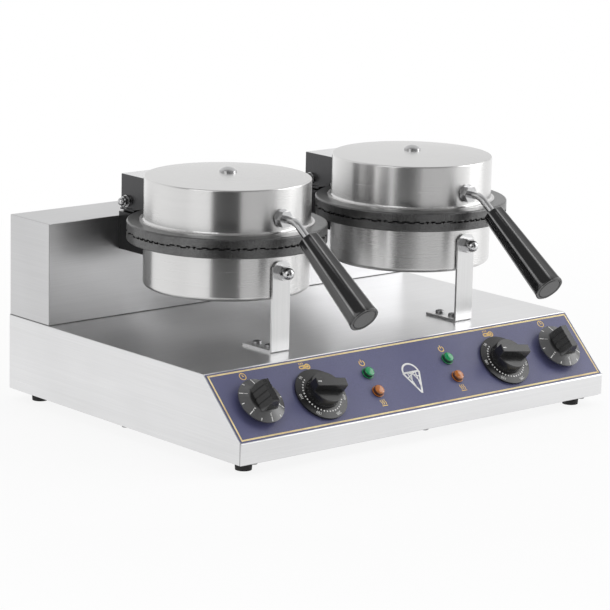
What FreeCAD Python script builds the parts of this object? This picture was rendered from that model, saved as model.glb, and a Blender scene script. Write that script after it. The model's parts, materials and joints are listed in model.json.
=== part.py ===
import FreeCAD, Part

import math
import os

from FreeCAD import Vector

# Countertop waffle cone maker with two hinged round irons on a folded steel cabinet.
# Lengths are in millimetres. X runs to the right, Y to the back and Z up. The origin lies on the
# counter, under the middle of the machine's outline.

# Cabinet of folded sheet with a sloped control panel
SHEET = 1.2
BEND_RADIUS = 1.0
CABINET_WIDTH = 510.0
CABINET_DEPTH = 396.0
CABINET_HEIGHT = 81.0
LIP_HEIGHT = 21.5
PANEL_RUN = 61.0
RETURN_FLANGE = 14.0

# Bottom plate, vents and feet
BOTTOM_SHEET = 1.2
BOTTOM_INSET = 2.5
VENT_LENGTH = 46.0
VENT_WIDTH = 4.0
VENT_PITCH = 11.0
VENT_COUNT = 9
FOOT_HEIGHT = 11.0
FOOT_TOP_RADIUS = 9.5
FOOT_BASE_RADIUS = 8.5
FOOT_INSET = 24.0
FOOT_RECESS_RADIUS = 4.6
FOOT_RECESS_DEPTH = 5.5

# Rear housing and its cover
HOUSING_SHEET = 1.0
HOUSING_DEPTH = 71.0
HOUSING_HEIGHT = 110.0
HOUSING_INSET = 1.0
COVER_SHEET = 1.0
COVER_INSET = 0.6
WIRE_HOLE_RADIUS = 9.0

# Screws: a small size for the covers and feet, a larger one for the brackets
SMALL_SCREW_RADIUS = 2.0
LARGE_SCREW_RADIUS = 2.5
SCREW_HEAD_RATIO = 1.9
SCREW_HEAD_RISE = 1.2
SCREW_LENGTH = 8.0
SCREW_CLEARANCE = 0.15
SCREW_HEAD_ROUND = 0.6
CROSS_REACH = 0.6
CROSS_HALF_WIDTH = 0.2
CROSS_DEPTH = 0.5
COVER_SCREW_INSET = 8.0

# Acorn nuts: the ball that rounds the hexagon's corners, in flats and hexagon heights
ACORN_BALL = 0.62
ACORN_BALL_RISE = 0.45

# Cord bushing in the rear wall
CORD_BORE_RADIUS = 4.5
BUSH_NECK_WALL = 3.5
BUSH_FLANGE_WIDTH = 3.2
BUSH_FLANGE_THICK = 3.0
BUSH_FIT = 0.05
BUSH_EDGE = 1.0
BUSH_OFFSET_X = 180.0
BUSH_RISE = 36.0

# Terminal block on the bottom plate
TERMINAL_LENGTH = 70.0
TERMINAL_WIDTH = 26.0
TERMINAL_HEIGHT = 12.0
TERMINAL_FIN_HEIGHT = 9.0
TERMINAL_FIN_THICK = 2.0
TERMINAL_WAYS = 5
TERMINAL_SETBACK = 52.0

# Irons: drums, plates and the spaces between them
DRUM_RADIUS = 87.5
DRUM_WALL = 1.0
DRUM_LIFT = 55.3
LOWER_DRUM_HEIGHT = 48.0
LOWER_DRUM_EDGE = 4.5
UPPER_DRUM_HEIGHT = 47.0
UPPER_DRUM_EDGE = 1.8
LID_CROWN = 4.3
DRUM_CURL_WIDTH = 4.0
DRUM_CURL_THICK = 1.2
DRUM_CURL_RADIUS = 2.2
PLATE_RADIUS = 105.0
PLATE_THICK = 10.1
PLATE_EDGE = 1.8
PLATE_GAP = 0.4
IRON_GAP = 49.0
HINGE_REACH = 39.0
SPIGOT_HEIGHT = 5.0
SPIGOT_WALL = 6.0
SPIGOT_CLEARANCE = 0.3
HUB_RADIUS = 12.0
HUB_HEIGHT = 14.0
WAFFLE_PITCH = 8.0
WAFFLE_RIB = 2.0
WAFFLE_DEPTH = 1.2

# Heating elements and insulation inside the drums
HEATER_RING_RADIUS = 58.0
HEATER_TUBE_RADIUS = 4.0
HEATER_SWEEP = 310.0
HEATER_PIN_RADIUS = 1.6
HEATER_PIN_LENGTH = 12.0
SEAT_GAP = 0.2
INSULATION_CLEARANCE = 0.6
POCKET_RADIUS = 15.0
POCKET_DEPTH = 24.0

# Plate bolts: one through each drum's closed end into the plate's hub
PLATE_BOLT_RADIUS = 4.0
PLATE_BOLT_GRIP = 10.0
BOLT_CLEARANCE = 0.1
BOLT_HEAD_FLATS = 13.0
BOLT_HEAD_HEIGHT = 5.5
DOME_RADIUS = 9.0
DOME_SKIRT = 2.0
DOME_RISE = 3.8

# Front brackets under the lower drums
BRACKET_WIDTH = 23.5
BRACKET_THICK = 2.5
BRACKET_CORNER = 9.0
BRACKET_TOP_MARGIN = 11.5
BRACKET_FOOT = 47.0
BRACKET_BEND = 2.5
BRACKET_BOLT_RISE = 28.7
BRACKET_BOLT_RADIUS = 4.0
BRACKET_BOLT_INSIDE = 9.0
BRACKET_SCREW_FIRST = 15.0
BRACKET_SCREW_SPACING = 20.0
BRACKET_NUT_FLATS = 15.0
BRACKET_NUT_HEX = 7.0
BRACKET_NUT_DOME = 6.5
BRACKET_NUT_NECK = 3.0
INNER_NUT_FLATS = 13.0
INNER_NUT_HEIGHT = 5.0
INNER_NUT_STANDOFF = 0.45

# Rear hinges: a fixed box with ears on the housing, and a bracket on each lid
HINGE_SHEET = 2.0
HINGE_HALF_WIDTH = 32.5
HINGE_DROP = 39.5
HINGE_TOP_RISE = 1.4
EAR_THICK = 3.0
EAR_RADIUS = 9.0
EAR_GAP = 0.5
LID_BRACKET_HALF_WIDTH = 30.0
LID_BRACKET_RISE = 28.7
LID_BRACKET_TAIL = 9.8
LID_SLIT_WIDTH = 3.5
LID_SLIT_RISE = 14.0
LID_LIP_WIDTH = 5.0
LID_LIP_THICK = 1.6
LID_LIP_FRONT = 19.0
LID_LIP_BACK = 5.0
LID_LIP_CLEARANCE = 0.6
WELD_GAP = 0.2
RIM_CLEARANCE = 1.5
PIVOT_SETBACK = 10.5
PIVOT_RISE = 13.2
PIN_RADIUS = 3.0
PIN_FIT = 0.06
PIN_WASHER_RADIUS = 6.5
PIN_WASHER_THICK = 1.2
PIN_NUT_FLATS = 10.0
PIN_NUT_HEX = 4.0
PIN_NUT_DOME = 4.4
PIN_NUT_NECK = 1.5
SIDE_GAP = 0.3
HINGE_SCREW_X = 16.0
HINGE_SCREW_Z = 10.0

# Handles
HANDLE_RISE = 15.8
HANDLE_DROP_ANGLE = 37.0
ROD_RADIUS = 4.0
ROD_INSIDE = 14.0
ROD_OUT = 22.4
ROD_BEND = 20.0
ROD_SLOPE = 26.0
ROD_IN_GRIP = 45.0
ROD_FIT = 0.1
ROD_NUT_FLATS = 16.0
ROD_NUT_HEIGHT = 6.5
ROD_WASHER_RADIUS = 10.0
ROD_WASHER_THICK = 1.6
GRIP_LENGTH = 110.0
GRIP_START_RADIUS = 12.0
GRIP_END_RADIUS = 16.5
GRIP_SIDES = 8
GRIP_FLAT_DEPTH = 0.55
GRIP_EDGE = 1.2

# Control panel: overlay, lamps, timers and thermostats
OVERLAY_THICK = 0.4
OVERLAY_MARGIN = 1.4
LAMP_X = 56.0
POWER_LAMP_T = 52.8
HEATING_LAMP_T = 29.9
LENS_BASE_RADIUS = 7.0
LENS_TOP_RADIUS = 5.8
LENS_SKIRT = 1.2
LENS_HEIGHT = 5.8
LENS_EDGE = 0.8
LAMP_BARREL_RADIUS = 5.0
LAMP_BARREL_LENGTH = 22.0
LAMP_CLIP_WALL = 2.5
LAMP_CLIP_THICK = 3.0
TIMER_EDGE_DISTANCE = 45.0
TIMER_T = 40.2
THERMOSTAT_T = 38.0
HOLE_CLEARANCE = 0.2
SHAFT_RADIUS = 3.0
SHAFT_FIT = 0.08
SHAFT_DEPTH = 10.0
COLLAR_RADIUS = 4.6
PANEL_NUT_FLATS = 14.0
PANEL_NUT_THICK = 2.2
TIMER_BODY_SIDE = 42.0
TIMER_BODY_DEPTH = 30.0
THERMOSTAT_BODY_SIDE = 36.0
THERMOSTAT_BODY_DEPTH = 24.0

# Timer knobs: a conical skirt with a fluted wedge grip
TIMER_SKIRT_RADIUS = 26.0
TIMER_SKIRT_LIFT = 7.0
TIMER_SKIRT_EDGE = 1.2
TIMER_NECK_RADIUS = 14.5
TIMER_NECK_RISE = 6.0
TIMER_WEDGE_LENGTH = 29.0
TIMER_WEDGE_WIDTH = 21.0
TIMER_WEDGE_TOP_LENGTH = 27.0
TIMER_WEDGE_TOP_WIDTH = 8.5
TIMER_WEDGE_RISE = 15.0
TIMER_FLUTES = 3
TIMER_FLUTE_WIDTH = 1.3
TIMER_FLUTE_DEPTH = 0.9
TIMER_FLUTE_PITCH = 7.0
KNOB_EDGE = 0.7
KNOB_BORE_RISE = 8.0

# Temperature knobs: a flat dial, a round hub and a straight bar
DIAL_RADIUS = 30.0
DIAL_LIFT = 1.6
DIAL_EDGE = 2.0
DIAL_SLOPE_RISE = 1.6
DIAL_RECESS_RADIUS = 11.0
DIAL_RECESS_RISE = 3.6
DIAL_HUB_RADIUS = 19.0
DIAL_HUB_TOP_RADIUS = 18.2
DIAL_HUB_RISE = 11.5
DIAL_BAR_LENGTH = 37.0
DIAL_BAR_WIDTH = 12.5
DIAL_BAR_TOP_WIDTH = 9.5
DIAL_BAR_RISE = 9.5
DIAL_BAR_ANGLE = -10.0

UP = Vector(0, 0, 1)
DOWN = Vector(0, 0, -1)
BACK = Vector(0, 1, 0)
FRONT = Vector(0, -1, 0)
RIGHT = Vector(1, 0, 0)
LEFT = Vector(-1, 0, 0)
ORIGIN = Vector(0, 0, 0)
SIDES = {"left": -1, "right": 1}

# How far a cutting shape runs past what it cuts
OVERCUT = 1.0

# Depths measured from the front face of the lip
handle_drop = math.radians(HANDLE_DROP_ANGLE)
rear_reach = SCREW_HEAD_RISE * SMALL_SCREW_RADIUS
iron_depth = CABINET_DEPTH - HOUSING_DEPTH - HINGE_REACH - PLATE_RADIUS
grip_run = (ROD_SLOPE + GRIP_LENGTH) * math.cos(handle_drop) + GRIP_END_RADIUS * math.sin(handle_drop)
grip_depth = iron_depth - DRUM_RADIUS - ROD_OUT - grip_run

# Places in Y, with the whole outline centred on the origin
front_y = -(CABINET_DEPTH + rear_reach + grip_depth) / 2
rear_y = front_y + CABINET_DEPTH
panel_top_y = front_y + PANEL_RUN
housing_front_y = rear_y - HOUSING_DEPTH
iron_y = front_y + iron_depth
drum_front_y = iron_y - DRUM_RADIUS
pivot_y = housing_front_y - PIVOT_SETBACK

# Places in Z, from the counter up
cabinet_z = FOOT_HEIGHT + BOTTOM_SHEET
lip_z = cabinet_z + LIP_HEIGHT
deck_z = cabinet_z + CABINET_HEIGHT
housing_top_z = deck_z + HOUSING_HEIGHT
lower_drum_z = deck_z + DRUM_LIFT
lower_plate_z = lower_drum_z + LOWER_DRUM_HEIGHT
lower_face_z = lower_plate_z + PLATE_THICK
upper_face_z = lower_face_z + PLATE_GAP
upper_plate_z = upper_face_z + PLATE_THICK
lid_top_z = upper_plate_z + UPPER_DRUM_HEIGHT
pivot_z = upper_face_z + PIVOT_RISE
bracket_bolt_z = lower_drum_z + BRACKET_BOLT_RISE
handle_z = upper_plate_z + HANDLE_RISE

# Places in X
iron_x = PLATE_RADIUS + IRON_GAP / 2
timer_x = CABINET_WIDTH / 2 - TIMER_EDGE_DISTANCE
foot_x = CABINET_WIDTH / 2 - FOOT_INSET

# Control panel directions
panel_angle = math.atan2(deck_z - lip_z, PANEL_RUN)
panel_length = math.hypot(deck_z - lip_z, PANEL_RUN)
panel_up = Vector(0, math.cos(panel_angle), math.sin(panel_angle))
panel_out = Vector(0, -math.sin(panel_angle), math.cos(panel_angle))

drum_bore = DRUM_RADIUS - DRUM_WALL
lid_bracket_drop = PIN_WASHER_RADIUS + LID_LIP_CLEARANCE + LID_LIP_THICK
bush_neck_radius = CORD_BORE_RADIUS + BUSH_NECK_WALL


def box(x0, x1, y0, y1, z0, z1):
    """A box between two corners."""
    return Part.makeBox(x1 - x0, y1 - y0, z1 - z0, Vector(x0, y0, z0))


def cylinder(radius, height, base, direction=UP):
    return Part.makeCylinder(radius, height, base, direction)


def ring(outer, inner, height, base, direction=UP):
    return cylinder(outer, height, base, direction).cut(cylinder(inner, height, base, direction))


def prism_x(points, x0, x1):
    """A solid with the given outline in Y and Z, from x0 to x1."""
    corners = [Vector(x0, y, z) for y, z in points]
    face = Part.Face(Part.makePolygon(corners + corners[:1]))
    return face.extrude(Vector(x1 - x0, 0, 0))


def hex_prism(flats, height, base, direction=UP):
    """A hexagonal bar with its across-flats size."""
    corner = flats / math.sqrt(3)
    turns = [math.radians(60 * i) for i in range(7)]
    outline = Part.makePolygon([Vector(corner * math.cos(a), corner * math.sin(a), 0) for a in turns])
    return placed(Part.Face(outline).extrude(Vector(0, 0, height)), base, direction)


def placed(shape, base, direction=UP):
    """A shape made along Z at the origin, set at a base point along a direction."""
    moved = shape.copy()
    moved.Placement = FreeCAD.Placement(base, FreeCAD.Rotation(UP, direction))
    return moved


def turned(edges):
    """A solid of revolution about Z from a closed outline in X and Z."""
    return Part.Face(Part.Wire(edges)).revolve(ORIGIN, UP, 360)


def outline_edges(points):
    """Straight edges that close an outline of radius and height pairs."""
    corners = [Vector(r, 0, z) for r, z in points]
    return Part.makePolygon(corners + corners[:1]).Edges


def line(start, end):
    return Part.LineSegment(Vector(start[0], 0, start[1]), Vector(end[0], 0, end[1])).toShape()


def arc(centre, radius, first, last):
    """An arc in X and Z between two angles in degrees."""
    turns = [math.radians(a) for a in (first, (first + last) / 2, last)]
    points = [Vector(centre[0] + radius * math.cos(a), 0, centre[1] + radius * math.sin(a)) for a in turns]
    return Part.Arc(*points).toShape()


def edges_where(shape, test):
    """The edges whose middle point passes a test."""
    return [edge for edge in shape.Edges if test(edge.CenterOfMass)]


def near(a, b):
    return abs(a - b) < 1e-4


def loft_bar(length, width, top_length, top_width, z0, z1):
    """A straight-sided bar that narrows from z0 to z1."""
    wires = []
    for half_x, half_y, z in ((length / 2, width / 2, z0), (top_length / 2, top_width / 2, z1)):
        corners = [Vector(-half_x, -half_y, z), Vector(half_x, -half_y, z)]
        corners += [Vector(half_x, half_y, z), Vector(-half_x, half_y, z)]
        wires.append(Part.makePolygon(corners + corners[:1]))
    return Part.makeLoft(wires, True, True)


def screw(radius, base, direction):
    """A pan head screw with a cross recess, seated at base and driven along direction."""
    head_radius = SCREW_HEAD_RATIO * radius
    head_height = SCREW_HEAD_RISE * radius
    head = cylinder(head_radius, head_height, Vector(0, 0, -head_height))
    rim = edges_where(head, lambda p: near(p.z, -head_height))
    head = head.makeFillet(head_height * SCREW_HEAD_ROUND, rim)
    reach, half_width = head_radius * CROSS_REACH, radius * CROSS_HALF_WIDTH
    for half_x, half_y in ((reach, half_width), (half_width, reach)):
        floor = -head_height * (1 - CROSS_DEPTH)
        head = head.cut(box(-half_x, half_x, -half_y, half_y, -head_height, floor))
    return placed(head.fuse(cylinder(radius, SCREW_LENGTH, ORIGIN)).removeSplitter(), base, direction)


def acorn_nut(flats, hex_height, neck, dome, bore, base, direction):
    """A hexagon with a short round neck and a ball end, bored for its thread."""
    body = hex_prism(flats, hex_height, ORIGIN)
    body = body.common(Part.makeSphere(flats * ACORN_BALL, Vector(0, 0, hex_height * ACORN_BALL_RISE)))
    body = body.fuse(cylinder(dome, hex_height + neck, ORIGIN))
    body = body.fuse(Part.makeSphere(dome, Vector(0, 0, hex_height + neck)))
    return placed(body.cut(cylinder(bore, hex_height, ORIGIN)), base, direction)


def washer_nut(flats, height, bore, base, direction):
    return hex_prism(flats, height, base, direction).cut(cylinder(bore, height, base, direction))


def panel_point(x, t, rise=0.0):
    """A point on the sloped panel, t up from its lower edge and rise out from its sheet."""
    return Vector(x, front_y, lip_z) + panel_up * t + panel_out * rise


def on_panel(shape, x, t):
    """A shape made along Z at the origin, set square on the panel."""
    moved = shape.copy()
    turn = FreeCAD.Rotation(RIGHT, math.degrees(panel_angle))
    moved.Placement = FreeCAD.Placement(panel_point(x, t), turn)
    return moved


def inset_outline(points, wall):
    """A convex outline in Y and Z drawn in by a wall, corner by corner."""
    inner = []
    count = len(points)
    for i in range(count):
        before, here, after = points[i - 1], points[i], points[(i + 1) % count]
        normals = []
        for start, end in ((before, here), (here, after)):
            dy, dz = end[0] - start[0], end[1] - start[1]
            length = math.hypot(dy, dz)
            normals.append((dz / length, -dy / length))
        (ay, az), (by, bz) = normals
        share = wall / (1 + ay * by + az * bz)
        inner.append((here[0] + share * (ay + by), here[1] + share * (az + bz)))
    return inner


def control_places():
    """Places on the panel of the two timers and the two thermostats."""
    timers = [(side * timer_x, TIMER_T) for side in SIDES.values()]
    thermostats = [(side * iron_x, THERMOSTAT_T) for side in SIDES.values()]
    return timers, thermostats


def lamp_places(t):
    return [(side * LAMP_X, t) for side in SIDES.values()]


def panel_holes(low, high):
    """The holes for the controls and the lamps, between two heights over the panel's sheet."""
    timers, thermostats = control_places()
    lamps = lamp_places(POWER_LAMP_T) + lamp_places(HEATING_LAMP_T)
    holes = [(COLLAR_RADIUS, place) for place in timers + thermostats]
    holes += [(LAMP_BARREL_RADIUS, place) for place in lamps]
    cuts = []
    for radius, (x, t) in holes:
        cuts.append(cylinder(radius + HOLE_CLEARANCE, high - low, panel_point(x, t, low), panel_out))
    return cuts


def cover_screw_places():
    """Seats of the rear cover's screws, which face the back."""
    reach_x = CABINET_WIDTH / 2 - HOUSING_INSET - COVER_SCREW_INSET
    low, high = deck_z + COVER_SCREW_INSET, housing_top_z - COVER_SCREW_INSET
    return [Vector(x, rear_y, z) for x in (-reach_x, 0, reach_x) for z in (low, high)]


def bottom_screw_places():
    """Seats of the bottom plate's screws, which face the counter."""
    reach_x = CABINET_WIDTH / 2 - COVER_SCREW_INSET
    low, high = front_y + COVER_SCREW_INSET, rear_y - COVER_SCREW_INSET
    places = [Vector(x, y, FOOT_HEIGHT) for x in (-foot_x, 0, foot_x) for y in (low, high)]
    return places + [Vector(x, (low + high) / 2, FOOT_HEIGHT) for x in (-reach_x, reach_x)]


def housing_screw_places():
    """Seats of the screws that hold the housing to the deck, on its lower flange."""
    y = housing_front_y + COVER_SCREW_INSET
    return [Vector(x, y, deck_z + HOUSING_SHEET) for x in (-foot_x, 0, foot_x)]


def foot_places():
    low, high = front_y + FOOT_INSET, rear_y - FOOT_INSET
    return [Vector(x, y, 0) for x in (-foot_x, foot_x) for y in (low, high)]


def bracket_screw_places(x):
    """Seats of a front bracket's two screws on its foot."""
    first = drum_front_y + BRACKET_SCREW_FIRST
    return [Vector(x, first + i * BRACKET_SCREW_SPACING, deck_z + BRACKET_THICK) for i in range(2)]


def hinge_screw_places(x):
    """Seats of a hinge box's screws, on the inside of its back plate."""
    middle = (lower_face_z - HINGE_DROP + housing_top_z) / 2
    seats = []
    for dx in (-HINGE_SCREW_X, HINGE_SCREW_X):
        for dz in (-HINGE_SCREW_Z, HINGE_SCREW_Z):
            seats.append(Vector(x + dx, housing_front_y - HINGE_SHEET, middle + dz))
    return seats


def screw_holes(radius, places, direction):
    """Clearance holes through whatever the screws pass."""
    hole = radius + SCREW_CLEARANCE
    return [cylinder(hole, 2 * SCREW_LENGTH, p - direction * SCREW_LENGTH, direction) for p in places]


def wire_hole(x):
    """The wire passage from a hinge box into the housing."""
    middle = (lower_face_z - HINGE_DROP + housing_top_z) / 2
    start = Vector(x, housing_front_y - 2 * HINGE_SHEET, middle)
    return cylinder(WIRE_HOLE_RADIUS, 4 * HINGE_SHEET, start, BACK)


def vent_slots(centre, along, across):
    """A row of rounded slots, stepped along one direction and cut along the third."""
    through = along.cross(across)
    slots = []
    for i in range(VENT_COUNT):
        middle = centre + along * ((i - (VENT_COUNT - 1) / 2) * VENT_PITCH)
        half = across * ((VENT_LENGTH - VENT_WIDTH) / 2)
        depth = through * VENT_WIDTH
        edge = along * (VENT_WIDTH / 2)
        corners = [middle - half - edge, middle + half - edge, middle + half + edge, middle - half + edge]
        outline = Part.makePolygon([p - depth / 2 for p in corners + corners[:1]])
        slots.append(Part.Face(outline).extrude(depth))
        ends = (middle - half, middle + half)
        slots += [cylinder(VENT_WIDTH / 2, VENT_WIDTH, p - depth / 2, through) for p in ends]
    return slots


def base_shell():
    """The cabinet: lip, sloped panel, deck, sides and back, with a return flange underneath."""
    outline = [(front_y, cabinet_z), (front_y, lip_z), (panel_top_y, deck_z)]
    outline += [(rear_y, deck_z), (rear_y, cabinet_z)]
    half = CABINET_WIDTH / 2
    body = prism_x(outline, -half, half)
    body = body.makeFillet(BEND_RADIUS, edges_where(body, lambda p: p.z > cabinet_z + OVERCUT))
    body = body.cut(prism_x(inset_outline(outline, SHEET), -half + SHEET, half - SHEET))
    edge = SHEET + RETURN_FLANGE
    low, high = cabinet_z - OVERCUT, cabinet_z + 2 * SHEET
    cuts = [box(-half + edge, half - edge, front_y + edge, rear_y - edge, low, high)]
    cuts += panel_holes(-3 * SHEET, SHEET)
    cuts.append(cylinder(bush_neck_radius + BUSH_FIT, 4 * SHEET, bush_point() - BACK * (3 * SHEET), BACK))
    cuts += screw_holes(SMALL_SCREW_RADIUS, bottom_screw_places(), UP)
    cuts += screw_holes(SMALL_SCREW_RADIUS, housing_screw_places(), DOWN)
    for side in SIDES.values():
        cuts += screw_holes(LARGE_SCREW_RADIUS, bracket_screw_places(side * iron_x), DOWN)
        passage = Vector(side * iron_x, (housing_front_y + rear_y) / 2, deck_z - 2 * SHEET)
        cuts.append(cylinder(2 * WIRE_HOLE_RADIUS, 4 * SHEET, passage))
    return body.cut(cuts)


def bottom_plate():
    """The flat cover under the cabinet, with vents and holes for its screws and the feet."""
    half = CABINET_WIDTH / 2 - BOTTOM_INSET
    plate = box(-half, half, front_y + BOTTOM_INSET, rear_y - BOTTOM_INSET, FOOT_HEIGHT, cabinet_z)
    cuts = screw_holes(SMALL_SCREW_RADIUS, bottom_screw_places(), UP)
    cuts += screw_holes(SMALL_SCREW_RADIUS, [p + UP * FOOT_HEIGHT for p in foot_places()], UP)
    for side in SIDES.values():
        centre = Vector(side * iron_x, iron_y, (FOOT_HEIGHT + cabinet_z) / 2)
        cuts += vent_slots(centre, RIGHT, BACK)
    return plate.cut(cuts)


def rubber_feet():
    """Tapered feet with a recess for the screw."""
    feet = []
    for place in foot_places():
        foot = Part.makeCone(FOOT_BASE_RADIUS, FOOT_TOP_RADIUS, FOOT_HEIGHT, place)
        foot = foot.cut(cylinder(FOOT_RECESS_RADIUS, FOOT_RECESS_DEPTH, place))
        feet.append(foot.cut(cylinder(SMALL_SCREW_RADIUS + SCREW_CLEARANCE, FOOT_HEIGHT, place)))
    return Part.makeCompound(feet)


def foot_screws():
    seats = [place + UP * FOOT_RECESS_DEPTH for place in foot_places()]
    return Part.makeCompound([screw(SMALL_SCREW_RADIUS, seat, UP) for seat in seats])


def cabinet_screws():
    """The small screws of the bottom plate, the rear cover and the housing."""
    screws = [screw(SMALL_SCREW_RADIUS, p, UP) for p in bottom_screw_places()]
    screws += [screw(SMALL_SCREW_RADIUS, p, FRONT) for p in cover_screw_places()]
    screws += [screw(SMALL_SCREW_RADIUS, p, DOWN) for p in housing_screw_places()]
    return Part.makeCompound(screws)


def bracket_screws():
    """The larger screws of the front brackets and the hinge boxes."""
    screws = []
    for side in SIDES.values():
        screws += [screw(LARGE_SCREW_RADIUS, p, DOWN) for p in bracket_screw_places(side * iron_x)]
        screws += [screw(LARGE_SCREW_RADIUS, p, BACK) for p in hinge_screw_places(side * iron_x)]
    return Part.makeCompound(screws)


def rear_housing():
    """The wiring box across the back of the deck, open behind its cover and over the deck."""
    half = CABINET_WIDTH / 2 - HOUSING_INSET
    back = rear_y - COVER_SHEET
    front, low, high = housing_front_y, deck_z, housing_top_z
    middle = (low + high) / 2
    body = box(-half, half, front, back, low, high)
    bends = edges_where(body, lambda p: near(p.z, high))
    bends += edges_where(body, lambda p: near(p.z, middle) and near(p.y, front))
    body = body.makeFillet(BEND_RADIUS, bends)
    wall, edge = HOUSING_SHEET, HOUSING_SHEET + RETURN_FLANGE
    cuts = [
        box(-half + wall, half - wall, front + wall, back - wall, low + wall, high - wall),
        box(-half + edge, half - edge, back - 2 * wall, back + OVERCUT, low + edge, high - edge),
        box(-half + edge, half - edge, front + edge, back - edge, low - OVERCUT, low + 2 * wall),
    ]
    cuts += screw_holes(SMALL_SCREW_RADIUS, cover_screw_places(), FRONT)
    cuts += screw_holes(SMALL_SCREW_RADIUS, housing_screw_places(), DOWN)
    for side in SIDES.values():
        cuts.append(wire_hole(side * iron_x))
        cuts += screw_holes(LARGE_SCREW_RADIUS, hinge_screw_places(side * iron_x), BACK)
    return body.cut(cuts)


def rear_cover():
    """The flat cover behind the housing, with two banks of vents."""
    half = CABINET_WIDTH / 2 - HOUSING_INSET - COVER_INSET
    low, high = deck_z + COVER_INSET, housing_top_z - COVER_INSET
    plate = box(-half, half, rear_y - COVER_SHEET, rear_y, low, high)
    cuts = screw_holes(SMALL_SCREW_RADIUS, cover_screw_places(), FRONT)
    for side in SIDES.values():
        centre = Vector(side * iron_x, rear_y - COVER_SHEET / 2, (low + high) / 2)
        cuts += vent_slots(centre, RIGHT, UP)
    return plate.cut(cuts)


def bush_point():
    """The middle of the cord bushing, on the outside of the cabinet's rear wall."""
    return Vector(BUSH_OFFSET_X, rear_y, cabinet_z + BUSH_RISE)


def cord_bushing():
    """A rubber bushing with a flange on each side of the rear wall and a bore for the cord."""
    flange = bush_neck_radius + BUSH_FLANGE_WIDTH
    inner = -SHEET - BUSH_FLANGE_THICK
    body = cylinder(flange, BUSH_FLANGE_THICK, ORIGIN)
    body = body.fuse(cylinder(bush_neck_radius, SHEET, Vector(0, 0, -SHEET)))
    body = body.fuse(cylinder(flange, BUSH_FLANGE_THICK, Vector(0, 0, inner)))
    body = body.makeFillet(BUSH_EDGE, edges_where(body, lambda p: near(p.z, BUSH_FLANGE_THICK)))
    bore = cylinder(CORD_BORE_RADIUS, 3 * BUSH_FLANGE_THICK, Vector(0, 0, inner))
    return placed(body.cut(bore), bush_point(), BACK)


def terminal_block():
    """A barrier strip where the supply meets the wiring."""
    x0 = BUSH_OFFSET_X - TERMINAL_LENGTH / 2
    y0 = rear_y - TERMINAL_SETBACK
    y1 = y0 + TERMINAL_WIDTH
    top = cabinet_z + TERMINAL_HEIGHT
    block = box(x0, x0 + TERMINAL_LENGTH, y0, y1, cabinet_z, top)
    step = (TERMINAL_LENGTH - TERMINAL_FIN_THICK) / TERMINAL_WAYS
    for i in range(TERMINAL_WAYS + 1):
        x = x0 + i * step
        block = block.fuse(box(x, x + TERMINAL_FIN_THICK, y0, y1, top, top + TERMINAL_FIN_HEIGHT))
    return block.removeSplitter()


def control_overlay():
    """The printed sheet on the sloped panel, pierced for the controls and lamps."""
    half = CABINET_WIDTH / 2 - OVERLAY_MARGIN
    low, high = OVERLAY_MARGIN, panel_length - OVERLAY_MARGIN
    sheet = on_panel(box(-half, half, low, high, 0, OVERLAY_THICK), 0, 0)
    return sheet.cut(panel_holes(-OVERCUT, OVERLAY_THICK + OVERCUT))


def lamp_lens():
    """A domed lens with a short skirt, seated on the overlay."""
    top = OVERLAY_THICK + LENS_HEIGHT
    skirt_top = OVERLAY_THICK + LENS_SKIRT
    outline = [(0, OVERLAY_THICK), (LENS_BASE_RADIUS, OVERLAY_THICK), (LENS_BASE_RADIUS, skirt_top)]
    lens = turned(outline_edges(outline + [(LENS_TOP_RADIUS, top), (0, top)]))
    return lens.makeFillet(LENS_EDGE, edges_where(lens, lambda p: near(p.z, top)))


def lamp_barrel():
    """The lamp's body behind the lens, through the panel's hole."""
    bottom = OVERLAY_THICK - LAMP_BARREL_LENGTH
    return cylinder(LAMP_BARREL_RADIUS, LAMP_BARREL_LENGTH, Vector(0, 0, bottom))


def lamp_clip():
    """The ring that clamps a lamp from behind the panel."""
    bore = LAMP_BARREL_RADIUS + BOLT_CLEARANCE
    return ring(bore + LAMP_CLIP_WALL, bore, LAMP_CLIP_THICK, Vector(0, 0, -SHEET - LAMP_CLIP_THICK))


def control_body(side, depth):
    """A timer or thermostat behind the panel, with a threaded collar through the panel's hole."""
    body = box(-side / 2, side / 2, -side / 2, side / 2, -SHEET - depth, -SHEET)
    uprights = edges_where(body, lambda p: near(abs(p.x), side / 2) and near(abs(p.y), side / 2))
    body = body.makeFillet(KNOB_EDGE, uprights)
    rise = OVERLAY_THICK + PANEL_NUT_THICK + KNOB_EDGE
    body = body.fuse(cylinder(COLLAR_RADIUS, rise + SHEET, Vector(0, 0, -SHEET)))
    floor = -SHEET - SHAFT_DEPTH
    return body.cut(cylinder(SHAFT_RADIUS + SHAFT_FIT, rise - floor, Vector(0, 0, floor)))


def control_nut():
    bore = COLLAR_RADIUS + BOLT_CLEARANCE
    return washer_nut(PANEL_NUT_FLATS, PANEL_NUT_THICK, bore, Vector(0, 0, OVERLAY_THICK), UP)


def shaft(top):
    """A control shaft from inside its body up into the knob."""
    bottom = SEAT_GAP - SHEET - SHAFT_DEPTH
    return cylinder(SHAFT_RADIUS, top - bottom, Vector(0, 0, bottom))


timer_bore_top = TIMER_SKIRT_LIFT + KNOB_BORE_RISE
dial_bore_top = DIAL_LIFT + DIAL_RECESS_RISE + KNOB_BORE_RISE


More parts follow.
